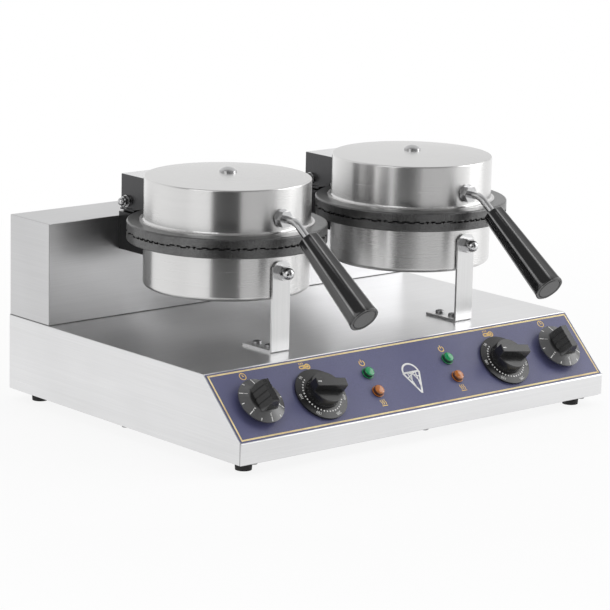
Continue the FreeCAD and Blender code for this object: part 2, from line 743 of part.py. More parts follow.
def timer_knob():
    """A conical skirt with a wedge grip that stands up the panel, fluted on its long sides."""
    rim = TIMER_SKIRT_LIFT + TIMER_SKIRT_EDGE
    neck = TIMER_SKIRT_LIFT + TIMER_NECK_RISE
    outline = [(0, TIMER_SKIRT_LIFT), (TIMER_SKIRT_RADIUS, TIMER_SKIRT_LIFT), (TIMER_SKIRT_RADIUS, rim)]
    skirt = turned(outline_edges(outline + [(TIMER_NECK_RADIUS, neck), (0, neck)]))
    top = neck + TIMER_WEDGE_RISE
    foot, crest = (TIMER_WEDGE_LENGTH, TIMER_WEDGE_WIDTH), (TIMER_WEDGE_TOP_LENGTH, TIMER_WEDGE_TOP_WIDTH)
    wedge = loft_bar(*foot, *crest, neck, top)
    wedge = wedge.makeFillet(KNOB_EDGE, edges_where(wedge, lambda p: p.z > neck + KNOB_EDGE))
    lean = (TIMER_WEDGE_WIDTH - TIMER_WEDGE_TOP_WIDTH) / 2 / TIMER_WEDGE_RISE
    inner = TIMER_WEDGE_WIDTH / 2 - TIMER_FLUTE_DEPTH
    reach = TIMER_WEDGE_WIDTH
    drop = lean * TIMER_WEDGE_RISE
    flute = [(inner, neck), (inner + reach, neck), (inner + reach, top), (inner - drop, top)]
    for i in range(TIMER_FLUTES):
        x = (i - (TIMER_FLUTES - 1) / 2) * TIMER_FLUTE_PITCH
        for way in (1, -1):
            points = [(way * y, z) for y, z in flute]
            wedge = wedge.cut(prism_x(points, x - TIMER_FLUTE_WIDTH / 2, x + TIMER_FLUTE_WIDTH / 2))
    wedge.rotate(ORIGIN, UP, 90)
    knob = skirt.fuse(wedge).removeSplitter()
    depth = timer_bore_top - TIMER_SKIRT_LIFT
    return knob.cut(cylinder(SHAFT_RADIUS + SHAFT_FIT, depth, Vector(0, 0, TIMER_SKIRT_LIFT)))


def temperature_knob():
    """A flat dial with a round hub and a straight bar across it."""
    rim = DIAL_LIFT + DIAL_EDGE
    crown = rim + DIAL_SLOPE_RISE
    hub_top = crown + DIAL_HUB_RISE
    outline = [(0, DIAL_LIFT), (DIAL_RADIUS, DIAL_LIFT), (DIAL_RADIUS, rim), (DIAL_HUB_RADIUS, crown)]
    body = turned(outline_edges(outline + [(DIAL_HUB_TOP_RADIUS, hub_top), (0, hub_top)]))
    body = body.makeFillet(KNOB_EDGE, edges_where(body, lambda p: near(p.z, hub_top)))
    foot, crest = (DIAL_BAR_LENGTH, DIAL_BAR_WIDTH), (DIAL_BAR_LENGTH, DIAL_BAR_TOP_WIDTH)
    bar = loft_bar(*foot, *crest, crown, hub_top + DIAL_BAR_RISE)
    bar = bar.makeFillet(KNOB_EDGE, edges_where(bar, lambda p: p.z > crown + KNOB_EDGE))
    bar.rotate(ORIGIN, UP, DIAL_BAR_ANGLE)
    knob = body.fuse(bar).removeSplitter()
    recess = cylinder(DIAL_RECESS_RADIUS, DIAL_RECESS_RISE, Vector(0, 0, DIAL_LIFT))
    bore = cylinder(SHAFT_RADIUS + SHAFT_FIT, dial_bore_top - DIAL_LIFT, Vector(0, 0, DIAL_LIFT))
    return knob.cut([recess, bore])


def crown_radius(reach, rise):
    """The radius of a shallow crown that rises by rise over a reach from its middle."""
    return (reach ** 2 + rise ** 2) / (2 * rise)


def end_edge(reach, level, crown):
    """The closed end of a cup from its axis out to reach, flat or bulged below its level by a crown."""
    if crown == 0:
        return line((0, level), (reach, level))
    ball = crown_radius(reach, crown)
    turn = math.degrees(math.asin(reach / ball))
    return arc((0, level - crown + ball), ball, -90, turn - 90)


def drum(height, edge, crown, curl):
    """A pressed cup with its closed end at Z 0 and its mouth up, with or without a curled foot."""
    wall = DRUM_WALL
    inner_edge = max(edge - wall, wall / 2)
    edges = [
        end_edge(DRUM_RADIUS - edge, 0, crown),
        arc((DRUM_RADIUS - edge, edge), edge, -90, 0),
    ]
    if curl:
        foot = height - DRUM_CURL_THICK
        rim = DRUM_RADIUS + DRUM_CURL_WIDTH
        bend = (DRUM_RADIUS + DRUM_CURL_RADIUS, foot - DRUM_CURL_RADIUS)
        edges += [
            line((DRUM_RADIUS, edge), (DRUM_RADIUS, bend[1])),
            arc(bend, DRUM_CURL_RADIUS, 180, 90),
            line((bend[0], foot), (rim, foot)),
            line((rim, foot), (rim, height)),
            line((rim, height), (drum_bore, height)),
        ]
    else:
        edges += [
            line((DRUM_RADIUS, edge), (DRUM_RADIUS, height)),
            line((DRUM_RADIUS, height), (drum_bore, height)),
        ]
    corner = (drum_bore - inner_edge, wall + inner_edge)
    edges += [
        line((drum_bore, height), (drum_bore, corner[1])),
        arc(corner, inner_edge, 0, -90),
        end_edge(corner[0], wall, crown),
        line((0, wall - crown), (0, -crown)),
    ]
    return turned(edges)


def wire_slot(x, z):
    """The opening at the back of a drum for its wires."""
    start = Vector(x, iron_y + DRUM_RADIUS - 3 * HINGE_SHEET, z)
    return cylinder(WIRE_HOLE_RADIUS, 4 * HINGE_SHEET, start, BACK)


def lower_drum(x):
    """The fixed drum, closed below, bored for the bracket bolt, the plate bolt and the wires."""
    body = placed(drum(LOWER_DRUM_HEIGHT, LOWER_DRUM_EDGE, 0, False), Vector(x, iron_y, lower_drum_z))
    front_hole = BRACKET_BOLT_RADIUS + BOLT_CLEARANCE
    end_hole = PLATE_BOLT_RADIUS + BOLT_CLEARANCE
    cuts = [
        cylinder(front_hole, 4 * DRUM_WALL, Vector(x, drum_front_y - DRUM_WALL, bracket_bolt_z), BACK),
        cylinder(end_hole, 3 * DRUM_WALL, Vector(x, iron_y, lower_drum_z - DRUM_WALL)),
        wire_slot(x, bracket_bolt_z),
    ]
    return body.cut(cuts)


def upper_drum(x):
    """The lid's drum, closed above, with a curled foot on the plate and a hole for the handle."""
    body = drum(UPPER_DRUM_HEIGHT, UPPER_DRUM_EDGE, LID_CROWN, True)
    body.rotate(ORIGIN, RIGHT, 180)
    body.translate(Vector(x, iron_y, lid_top_z))
    front_hole = ROD_RADIUS + ROD_FIT
    end_hole = PLATE_BOLT_RADIUS + BOLT_CLEARANCE
    end_depth = LID_CROWN + 3 * DRUM_WALL
    cuts = [
        cylinder(front_hole, 4 * DRUM_WALL, Vector(x, drum_front_y - DRUM_WALL, handle_z), BACK),
        cylinder(end_hole, end_depth, Vector(x, iron_y, lid_top_z - 2 * DRUM_WALL)),
        wire_slot(x, handle_z),
    ]
    return body.cut(cuts)


def waffle_pockets():
    """Square pockets over the cooking face, a quarter pitch off its middle both ways."""
    side = WAFFLE_PITCH - WAFFLE_RIB
    reach = int(PLATE_RADIUS / WAFFLE_PITCH) + 2
    pockets = []
    for i in range(-reach, reach):
        for j in range(-reach, reach):
            x, y = (i + 0.25) * WAFFLE_PITCH, (j + 0.25) * WAFFLE_PITCH
            if math.hypot(max(abs(x) - side / 2, 0), max(abs(y) - side / 2, 0)) < PLATE_RADIUS:
                corner = Vector(x - side / 2, y - side / 2, -WAFFLE_DEPTH)
                pockets.append(Part.makeBox(side, side, 2 * WAFFLE_DEPTH, corner))
    return pockets


def waffle_plate():
    """A cast plate, cooking face up at Z 0, with a locating spigot and a bored hub behind it."""
    disc = cylinder(PLATE_RADIUS, PLATE_THICK, Vector(0, 0, -PLATE_THICK))
    disc = disc.makeFillet(PLATE_EDGE, edges_where(disc, lambda p: near(p.z, -PLATE_THICK)))
    disc = disc.cut(waffle_pockets())
    outer = drum_bore - SPIGOT_CLEARANCE
    spigot = ring(outer, outer - SPIGOT_WALL, SPIGOT_HEIGHT, Vector(0, 0, -PLATE_THICK - SPIGOT_HEIGHT))
    hub_base = Vector(0, 0, -PLATE_THICK - HUB_HEIGHT)
    hub = ring(HUB_RADIUS, PLATE_BOLT_RADIUS + BOLT_CLEARANCE, HUB_HEIGHT, hub_base)
    return disc.fuse([spigot, hub]).removeSplitter()


def heater():
    """An open ring of tube with a pin at each end, lying under Z 0 with its gap to the back."""
    middle = -SEAT_GAP - HEATER_TUBE_RADIUS
    centre = Vector(0, 0, middle)
    ring_tube = Part.makeTorus(HEATER_RING_RADIUS, HEATER_TUBE_RADIUS, centre, UP, 0, 360, HEATER_SWEEP)
    ring_tube.rotate(centre, UP, 90 + (360 - HEATER_SWEEP) / 2)
    pins = []
    for way in (-1, 1):
        a = math.radians(90 + way * (360 - HEATER_SWEEP) / 2)
        end = centre + Vector(math.cos(a), math.sin(a), 0) * HEATER_RING_RADIUS
        tangent = Vector(way * math.sin(a), -way * math.cos(a), 0)
        pins.append(cylinder(HEATER_PIN_RADIUS, HEATER_PIN_LENGTH, end, tangent))
    return ring_tube.fuse(pins)


heater_depth = SEAT_GAP + 2 * HEATER_TUBE_RADIUS


def insulation(height, edge):
    """A pad of mineral wool from a drum's closed end at Z 0 up to the heater, bored for the hub."""
    radius = drum_bore - INSULATION_CLEARANCE
    depth = height - DRUM_WALL - heater_depth - 2 * SEAT_GAP
    pad = cylinder(radius, depth, Vector(0, 0, DRUM_WALL + SEAT_GAP))
    pad = pad.makeChamfer(edge, edges_where(pad, lambda p: near(p.z, DRUM_WALL + SEAT_GAP)))
    return pad.cut(cylinder(HUB_RADIUS + SEAT_GAP, 2 * height, ORIGIN))


def front_pocket(x, z):
    """Room in an insulation pad for the nut behind the drum's front wall."""
    return cylinder(POCKET_RADIUS, POCKET_DEPTH, Vector(x, drum_front_y, z), BACK)


def lower_heater(x):
    return placed(heater(), Vector(x, iron_y, lower_plate_z))


def upper_heater(x):
    body = heater()
    body.rotate(ORIGIN, BACK, 180)
    body.translate(Vector(x, iron_y, upper_plate_z))
    return body


def lower_insulation(x):
    pad = placed(insulation(LOWER_DRUM_HEIGHT, LOWER_DRUM_EDGE), Vector(x, iron_y, lower_drum_z))
    return pad.cut(front_pocket(x, bracket_bolt_z))


def upper_insulation(x):
    pad = insulation(UPPER_DRUM_HEIGHT, UPPER_DRUM_EDGE)
    pad.rotate(ORIGIN, RIGHT, 180)
    pad.translate(Vector(x, iron_y, lid_top_z))
    return pad.cut(front_pocket(x, handle_z))


def lower_plate(plate, x):
    return placed(plate, Vector(x, iron_y, lower_face_z))


def upper_plate(plate, x):
    """The same plate face down: the half turn about a diagonal shifts its pockets by half a pitch."""
    body = plate.copy()
    body.rotate(ORIGIN, Vector(1, -1, 0), 180)
    body.translate(Vector(x, iron_y, upper_face_z))
    return body


def lower_plate_bolt(x):
    """A hexagon bolt from under the lower drum into the plate's hub."""
    seat = Vector(x, iron_y, lower_drum_z)
    head = hex_prism(BOLT_HEAD_FLATS, BOLT_HEAD_HEIGHT, seat - UP * BOLT_HEAD_HEIGHT)
    length = LOWER_DRUM_HEIGHT - HUB_HEIGHT + PLATE_BOLT_GRIP
    return head.fuse(cylinder(PLATE_BOLT_RADIUS, length, seat)).removeSplitter()


def dome_bolt(x):
    """A low domed bolt on the lid's top, down into the upper plate's hub."""
    crown = DOME_SKIRT + DOME_RISE
    ball = crown_radius(DOME_RADIUS, DOME_RISE)
    head = cylinder(DOME_RADIUS, crown, ORIGIN).common(Part.makeSphere(ball, Vector(0, 0, crown - ball)))
    length = LID_CROWN + UPPER_DRUM_HEIGHT - HUB_HEIGHT + PLATE_BOLT_GRIP
    head = head.fuse(cylinder(PLATE_BOLT_RADIUS, length, ORIGIN, DOWN)).removeSplitter()
    return placed(head, Vector(x, iron_y, lid_top_z + LID_CROWN))


def front_bracket(x):
    """An L of strap: a rounded upright against the drum and a foot that runs back on the deck."""
    half = BRACKET_WIDTH / 2
    front = drum_front_y - BRACKET_THICK
    top = bracket_bolt_z + BRACKET_TOP_MARGIN
    upright = box(x - half, x + half, front, drum_front_y, deck_z, top)
    corners = edges_where(upright, lambda p: near(p.z, top) and not near(p.x, x))
    upright = upright.makeFillet(BRACKET_CORNER, corners)
    foot = box(x - half, x + half, front, front + BRACKET_FOOT, deck_z, deck_z + BRACKET_THICK)
    body = upright.fuse(foot).removeSplitter()
    inner = edges_where(body, lambda p: near(p.y, drum_front_y) and near(p.z, deck_z + BRACKET_THICK))
    body = body.makeFillet(BRACKET_BEND, inner)
    outer = edges_where(body, lambda p: near(p.y, front) and near(p.z, deck_z))
    body = body.makeFillet(BRACKET_BEND, outer)
    hole = BRACKET_BOLT_RADIUS + BOLT_CLEARANCE
    cuts = [cylinder(hole, 3 * BRACKET_THICK, Vector(x, front - BRACKET_THICK, bracket_bolt_z), BACK)]
    return body.cut(cuts + screw_holes(LARGE_SCREW_RADIUS, bracket_screw_places(x), DOWN))


def bracket_bolt(x):
    """A stud through the drum wall and the bracket, with a nut inside the drum."""
    inside = Vector(x, drum_front_y + BRACKET_BOLT_INSIDE, bracket_bolt_z)
    length = BRACKET_BOLT_INSIDE + BRACKET_THICK + BRACKET_NUT_HEX
    stud = cylinder(BRACKET_BOLT_RADIUS, length, inside, FRONT)
    seat = Vector(x, drum_front_y + DRUM_WALL + INNER_NUT_STANDOFF, bracket_bolt_z)
    return stud.fuse(hex_prism(INNER_NUT_FLATS, INNER_NUT_HEIGHT, seat, BACK)).removeSplitter()


def bracket_nut(x):
    """The acorn nut on the front of the bracket."""
    seat = Vector(x, drum_front_y - BRACKET_THICK, bracket_bolt_z)
    bore = BRACKET_BOLT_RADIUS + BOLT_CLEARANCE
    sizes = (BRACKET_NUT_FLATS, BRACKET_NUT_HEX, BRACKET_NUT_NECK, BRACKET_NUT_DOME)
    return acorn_nut(*sizes, bore, seat, FRONT)


def pin_cylinder(x, radius, half):
    """A cylinder about the hinge's axis, reaching half to each side of the iron's middle."""
    return cylinder(radius, 2 * half, Vector(x - half, pivot_y, pivot_z), RIGHT)


def lower_hinge(x):
    """A folded box from the housing to the lower drum, with two inner ears for the hinge pin."""
    half, wall = HINGE_HALF_WIDTH, HINGE_SHEET
    low, high = lower_face_z - HINGE_DROP, lower_face_z + HINGE_TOP_RISE
    body = box(x - half, x + half, iron_y, housing_front_y, low, high)
    y1, z0, z1 = housing_front_y - wall, low + wall, high + OVERCUT
    body = body.cut(box(x - half + wall, x + half - wall, iron_y, y1, z0, z1))
    outer_x = LID_BRACKET_HALF_WIDTH - HINGE_SHEET - EAR_GAP
    for way in (-1, 1):
        x0, x1 = sorted((x + way * outer_x, x + way * (outer_x - EAR_THICK)))
        ear = box(x0, x1, pivot_y - EAR_RADIUS, housing_front_y - wall, low + wall, high)
        ear = ear.fuse(box(x0, x1, pivot_y - EAR_RADIUS, pivot_y + EAR_RADIUS, high, pivot_z))
        ear = ear.fuse(cylinder(EAR_RADIUS, EAR_THICK, Vector(x0, pivot_y, pivot_z), RIGHT))
        body = body.fuse(ear)
    body = body.removeSplitter()
    centre = Vector(x, iron_y, low - OVERCUT)
    rim_z = lower_plate_z - RIM_CLEARANCE
    cuts = [
        cylinder(DRUM_RADIUS + WELD_GAP, high - low + 2 * OVERCUT, centre),
        cylinder(PLATE_RADIUS + RIM_CLEARANCE, high - rim_z + OVERCUT, Vector(x, iron_y, rim_z)),
        pin_cylinder(x, PIN_RADIUS + PIN_FIT, half),
        wire_hole(x),
    ]
    return body.cut(cuts + screw_holes(LARGE_SCREW_RADIUS, hinge_screw_places(x), BACK))


def lid_bracket(x):
    """An inverted channel on the lid's back that straddles the ears and turns on the pin."""
    half, wall = LID_BRACKET_HALF_WIDTH, HINGE_SHEET
    low, high = pivot_z - lid_bracket_drop, pivot_z + LID_BRACKET_RISE
    tail = pivot_y + LID_BRACKET_TAIL
    body = box(x - half, x + half, iron_y, tail, low, high)
    bends = edges_where(body, lambda p: near(p.z, high) and near(abs(p.x - x), half))
    body = body.makeFillet(BEND_RADIUS, bends)
    body = body.cut(box(x - half + wall, x + half - wall, iron_y, tail, low, high - wall))
    lip_y0, lip_y1 = pivot_y - LID_LIP_FRONT, pivot_y + LID_LIP_BACK
    for way in (-1, 1):
        x0, x1 = sorted((x + way * half, x + way * (half + LID_LIP_WIDTH)))
        body = body.fuse(box(x0, x1, lip_y0, lip_y1, low, low + LID_LIP_THICK))
    body = body.removeSplitter()
    bottom = low - OVERCUT
    reaches = [
        (DRUM_RADIUS + WELD_GAP, high + OVERCUT),
        (DRUM_RADIUS + DRUM_CURL_WIDTH + LID_SLIT_WIDTH, upper_plate_z + LID_SLIT_RISE),
        (PLATE_RADIUS + RIM_CLEARANCE, upper_plate_z + RIM_CLEARANCE),
    ]
    cuts = [cylinder(radius, top - bottom, Vector(x, iron_y, bottom)) for radius, top in reaches]
    return body.cut(cuts + [pin_cylinder(x, PIN_RADIUS + PIN_FIT, half + LID_LIP_WIDTH)])


pin_seat = LID_BRACKET_HALF_WIDTH + SIDE_GAP
pin_half = pin_seat + PIN_WASHER_THICK + PIN_NUT_HEX


def hinge_pin(x):
    return pin_cylinder(x, PIN_RADIUS, pin_half)


def hinge_nuts(x):
    """A washer and an acorn nut at each end of a hinge pin."""
    nuts = []
    bore = PIN_RADIUS + PIN_FIT
    for way in (LEFT, RIGHT):
        seat = Vector(x, pivot_y, pivot_z) + way * pin_seat
        nuts.append(ring(PIN_WASHER_RADIUS, bore, PIN_WASHER_THICK, seat, way))
        seat = seat + way * PIN_WASHER_THICK
        sizes = (PIN_NUT_FLATS, PIN_NUT_HEX, PIN_NUT_NECK, PIN_NUT_DOME)
        nuts.append(acorn_nut(*sizes, bore, seat, way))
    return nuts


def handle_line():
    """The bend of a handle rod, and the directions of its two straight runs, in Y and Z."""
    corner = Vector(0, drum_front_y - ROD_OUT, handle_z)
    slope = Vector(0, -math.cos(handle_drop), -math.sin(handle_drop))
    return corner, slope


def handle_rod(x):
    """A bent round rod from inside the drum, out and down into the grip."""
    corner, slope = handle_line()
    tangent = ROD_BEND * math.tan(handle_drop / 2)
    start = Vector(0, drum_front_y + ROD_INSIDE, handle_z)
    bend_start, bend_end = corner - FRONT * tangent, corner + slope * tangent
    inward = (slope - FRONT).normalize()
    middle = corner + inward * (ROD_BEND / math.cos(handle_drop / 2) - ROD_BEND)
    end = corner + slope * (ROD_SLOPE + ROD_IN_GRIP)
    edges = [
        Part.LineSegment(start, bend_start).toShape(),
        Part.Arc(bend_start, middle, bend_end).toShape(),
        Part.LineSegment(bend_end, end).toShape(),
    ]
    section = Part.Wire(Part.Circle(start, FRONT, ROD_RADIUS).toShape())
    rod = Part.Wire(edges).makePipeShell([section], True, False)
    rod.translate(Vector(x, 0, 0))
    return rod


def handle_grip(x):
    """A tapered eight-sided grip with rounded corners, bored for the rod."""
    corner, slope = handle_line()
    grip = Part.makeCone(GRIP_START_RADIUS, GRIP_END_RADIUS, GRIP_LENGTH)
    wires = []
    for radius, z in ((GRIP_START_RADIUS, 0), (GRIP_END_RADIUS, GRIP_LENGTH)):
        reach = (radius - GRIP_FLAT_DEPTH) / math.cos(math.pi / GRIP_SIDES)
        turns = [(2 * i + 1) * math.pi / GRIP_SIDES for i in range(GRIP_SIDES)]
        corners = [Vector(reach * math.cos(a), reach * math.sin(a), z) for a in turns]
        wires.append(Part.makePolygon(corners + corners[:1]))
    grip = grip.common(Part.makeLoft(wires, True, True))
    wide = GRIP_END_RADIUS + GRIP_LENGTH
    grip = grip.common(Part.makeCone(GRIP_START_RADIUS - GRIP_EDGE, wide, wide))
    grip = grip.common(Part.makeCone(wide - GRIP_EDGE, GRIP_END_RADIUS - GRIP_EDGE, GRIP_LENGTH))
    grip = grip.cut(cylinder(ROD_RADIUS + ROD_FIT, ROD_IN_GRIP + SEAT_GAP, ORIGIN))
    place = corner + slope * ROD_SLOPE
    return placed(grip, Vector(x, place.y, place.z), slope)


def handle_nuts(x):
    """A washer and nut on the front of the drum, and a nut inside it."""
    bore = ROD_RADIUS + ROD_FIT
    seat = Vector(x, drum_front_y, handle_z)
    washer = ring(ROD_WASHER_RADIUS, bore, ROD_WASHER_THICK, seat, FRONT)
    outer = washer_nut(ROD_NUT_FLATS, ROD_NUT_HEIGHT, bore, seat + FRONT * ROD_WASHER_THICK, FRONT)
    inner_seat = seat + BACK * (DRUM_WALL + INNER_NUT_STANDOFF)
    inner = washer_nut(INNER_NUT_FLATS, INNER_NUT_HEIGHT, bore, inner_seat, BACK)
    return Part.makeCompound([washer, outer, inner])


def both(make):
    """The same group of solids at the left and the right iron."""
    solids = []
    for side in SIDES.values():
        made = make(side * iron_x)
        solids += made if isinstance(made, list) else [made]
    return Part.makeCompound(solids)


def panel_group(shape, places):
    return Part.makeCompound([on_panel(shape, x, t) for x, t in places])


def build():
    """Every node of the machine by its name."""
    timers, thermostats = control_places()
    power_lamps, heating_lamps = lamp_places(POWER_LAMP_T), lamp_places(HEATING_LAMP_T)
    timer_body = control_body(TIMER_BODY_SIDE, TIMER_BODY_DEPTH)
    thermostat_body = control_body(THERMOSTAT_BODY_SIDE, THERMOSTAT_BODY_DEPTH)
    plate = waffle_plate()
    nodes = {
        "base_shell": base_shell(),
        "bottom_plate": bottom_plate(),
        "rubber_feet": rubber_feet(),
        "foot_screws": foot_screws(),
        "cabinet_screws": cabinet_screws(),
        "bracket_screws": bracket_screws(),
        "rear_housing": rear_housing(),
        "rear_cover": rear_cover(),
        "cord_bushing": cord_bushing(),
        "terminal_block": terminal_block(),
        "control_overlay": control_overlay(),
        "power_lamp_lenses": panel_group(lamp_lens(), power_lamps),
        "heating_lamp_lenses": panel_group(lamp_lens(), heating_lamps),
        "lamp_barrels": panel_group(lamp_barrel(), power_lamps + heating_lamps),
        "lamp_clips": panel_group(lamp_clip(), power_lamps + heating_lamps),
        "timer_bodies": panel_group(timer_body, timers),
        "thermostat_bodies": panel_group(thermostat_body, thermostats),
        "control_nuts": panel_group(control_nut(), timers + thermostats),
        "front_bracket_bolts": both(bracket_bolt),
        "front_bracket_nuts": both(bracket_nut),
        "lower_heaters": both(lower_heater),
        "lower_insulation": both(lower_insulation),
        "lower_plate_bolts": both(lower_plate_bolt),
        "hinge_pins": both(hinge_pin),
        "hinge_nuts": both(hinge_nuts),
    }
    for name, side in SIDES.items():
        x = side * iron_x
        nodes[name + "_front_bracket"] = front_bracket(x)
        nodes[name + "_lower_drum"] = lower_drum(x)
        nodes[name + "_lower_plate"] = lower_plate(plate, x)
        nodes[name + "_lower_hinge"] = lower_hinge(x)
        nodes[name + "_upper_drum"] = upper_drum(x)
        nodes[name + "_upper_plate"] = upper_plate(plate, x)
        nodes[name + "_upper_heater"] = upper_heater(x)
        nodes[name + "_upper_insulation"] = upper_insulation(x)
        nodes[name + "_lid_bracket"] = lid_bracket(x)
        nodes[name + "_handle_rod"] = handle_rod(x)
        nodes[name + "_handle_grip"] = handle_grip(x)
        nodes[name + "_handle_nuts"] = handle_nuts(x)
        nodes[name + "_dome_bolt"] = dome_bolt(x)
        nodes[name + "_timer_knob"] = on_panel(timer_knob(), side * timer_x, TIMER_T)
        nodes[name + "_timer_shaft"] = on_panel(shaft(timer_bore_top - SEAT_GAP), side * timer_x, TIMER_T)
        nodes[name + "_temperature_knob"] = on_panel(temperature_knob(), x, THERMOSTAT_T)
        nodes[name + "_temperature_shaft"] = on_panel(shaft(dial_bore_top - SEAT_GAP), x, THERMOSTAT_T)
    return nodes


os.makedirs("parts", exist_ok=True)
for node, shape in build().items():
    shape.exportStep("parts/" + node + ".step")
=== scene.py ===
import json
import math

import bmesh
import bpy
from bpy.props import FloatProperty, FloatVectorProperty, IntProperty, PointerProperty
from bpy.types import NodeSocket, Operator, Panel, PropertyGroup
from mathutils import Matrix, Vector
from mathutils.bvhtree import BVHTree


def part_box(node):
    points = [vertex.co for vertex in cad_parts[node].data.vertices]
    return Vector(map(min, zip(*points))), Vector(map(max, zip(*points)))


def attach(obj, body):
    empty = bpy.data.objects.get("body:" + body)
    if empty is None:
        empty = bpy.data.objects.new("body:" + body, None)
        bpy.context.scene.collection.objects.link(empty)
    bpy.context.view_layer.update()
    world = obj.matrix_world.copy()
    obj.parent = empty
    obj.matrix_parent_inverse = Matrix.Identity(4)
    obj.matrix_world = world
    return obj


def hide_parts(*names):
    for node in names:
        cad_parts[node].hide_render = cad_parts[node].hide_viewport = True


bl_info = {
    "name": "Waffle cone maker looks",
    "version": (1, 0, 0),
    "blender": (4, 5, 0),
    "location": "View3D > Sidebar > Cone Maker",
    "description": "Finishes, printed panel, dial marks, lamps and studio for a two-iron waffle cone maker",
    "category": "Object",
}

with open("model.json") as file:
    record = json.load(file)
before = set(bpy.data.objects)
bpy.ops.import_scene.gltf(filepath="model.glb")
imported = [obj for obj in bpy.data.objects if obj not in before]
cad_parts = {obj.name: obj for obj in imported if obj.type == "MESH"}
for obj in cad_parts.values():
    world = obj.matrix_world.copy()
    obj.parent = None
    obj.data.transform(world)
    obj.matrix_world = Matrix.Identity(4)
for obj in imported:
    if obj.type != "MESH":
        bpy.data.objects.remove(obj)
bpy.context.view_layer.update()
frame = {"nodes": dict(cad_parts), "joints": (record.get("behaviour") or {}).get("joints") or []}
nodes = frame["nodes"]
joints = {joint["name"]: joint for joint in frame["joints"]}

MM = 0.001
FULL_TURN = 2 * math.pi
QUARTER_TURN = math.pi / 2
SIDES = ("left", "right")
WHITE = (1, 1, 1, 1)

# Most values of a noise texture lie between these two
NOISE_LOW = 0.3
NOISE_HIGH = 0.7

# How often brushed grain changes along its strokes and across them, by the metre.
# Along the strokes of a drum it is by the radian
SHEET_GRAIN = (14.0, 2600.0)
STRAP_GRAIN = (18.0, 2400.0)
DRUM_GRAIN = (2.2, 2400.0)

# Depth of the relief on brushed steel and on moulded plastic
BRUSH_DEPTH = 0.02 * MM
PEBBLE_DEPTH = 0.08 * MM

# The Mix node has two inputs and an output of its own for each kind of data
MIX_SOCKETS = {"FLOAT": (2, 3, 0), "VECTOR": (4, 5, 1), "RGBA": (6, 7, 2)}

# The sloped panel, read from the knobs' axes and the overlay's own surface
panel_out = -Vector(joints["left_timer_turn"]["axis"]).normalized()
panel_up = Vector((0, panel_out.z, -panel_out.y))
overlay_points = [v.co for v in nodes["control_overlay"].data.vertices]
panel_low = min(p.dot(panel_up) for p in overlay_points)
panel_high = max(p.dot(panel_up) for p in overlay_points)
panel_face = max(p.dot(panel_out) for p in overlay_points)
panel_half = max(p.x for p in overlay_points)


# Settings


def colour_setting(name, description, red, green, blue):
    return FloatVectorProperty(name=name, description=description, subtype="COLOR", size=4, min=0, max=1,
                               default=(red, green, blue, 1))


def length_setting(name, description, default):
    return FloatProperty(name=name, description=description, unit="LENGTH", min=0, default=default)


def angle_setting(name, description, degrees):
    return FloatProperty(name=name, description=description, subtype="ANGLE", default=math.radians(degrees))


def level_setting(name, description, default, unit="NONE"):
    return FloatProperty(name=name, description=description, unit=unit, min=0, default=default)


def count_setting(name, description, least, default):
    return IntProperty(name=name, description=description, min=least, default=default)


class ConeMakerFinish(PropertyGroup):
    """Colours of the machine's surfaces."""

    # the sheet colour also gives the painted highlight on the lid bracket tops
    sheet: colour_setting("Sheet steel", "Cabinet sheet and lid bracket tops", 0.76, 0.76, 0.765)
    housing: colour_setting("Housing steel", "Rear housing and its cover", 0.6, 0.6, 0.605)
    drum: colour_setting("Drum steel", "Turned drums of the irons", 0.71, 0.706, 0.702)
    strap: colour_setting("Strap steel", "Front brackets", 0.74, 0.74, 0.74)
    # very dark steel; on the lid bracket sides it is painted shade standing in for the dark room they mirror
    hinge: colour_setting("Hinge steel", "Darkened hinge boxes and painted-shade lid bracket sides", 0.085, 0.085, 0.087)
    bright: colour_setting("Bright hardware", "Polished nuts, pins and rods", 0.6, 0.6, 0.605)
    plain: colour_setting("Plain fasteners", "Screws, bolts and shafts", 0.34, 0.34, 0.345)
    casting: colour_setting("Cast plates", "Seasoned cast waffle plates", 0.115, 0.115, 0.115)
    grip: colour_setting("Grips", "Glossy moulded handle grips", 0.006, 0.006, 0.0065)
    # painted highlight colour along the grip ridges
    worn: colour_setting("Painted ridge highlights", "Painted highlights along the grip ridges", 0.42, 0.42, 0.42)
    knob: colour_setting("Knobs", "Satin moulded knobs", 0.013, 0.013, 0.0135)
    # painted reflection: the timer skirts are greyed for the light they mirror
    skirt: colour_setting("Timer skirts", "Greyer skirts round the timer knobs", 0.085, 0.085, 0.087)
    seam: colour_setting("Seams", "Dark strips in the sheet joints", 0.17, 0.17, 0.17)
    rubber: colour_setting("Rubber", "Feet and cord bushing", 0.011, 0.011, 0.011)
    overlay: colour_setting("Panel print", "Slate blue of the panel overlay", 0.092, 0.095, 0.192)
    gold: colour_setting("Gold print", "Control icons", 0.9, 0.55, 0.16)
    border: colour_setting("Border print", "Pale gold line round the panel", 0.9, 0.66, 0.33)
    chalk: colour_setting("White print", "Dial marks and pictogram", 0.78, 0.78, 0.76)
    green: colour_setting("Green lens", "Power lamp lens", 0.0, 0.27, 0.09)
    amber: colour_setting("Amber lens", "Heating lamp lens", 0.42, 0.13, 0.018)
    sheath: colour_setting("Heater sheath", "Heating elements", 0.2, 0.18, 0.17)
    wool: colour_setting("Mineral wool", "Insulation pads", 0.62, 0.56, 0.38)
    glaze: colour_setting("Terminal glaze", "Ceramic terminal block", 0.7, 0.67, 0.6)
    control: colour_setting("Control bodies", "Timers, thermostats and lamp barrels", 0.06, 0.055, 0.05)


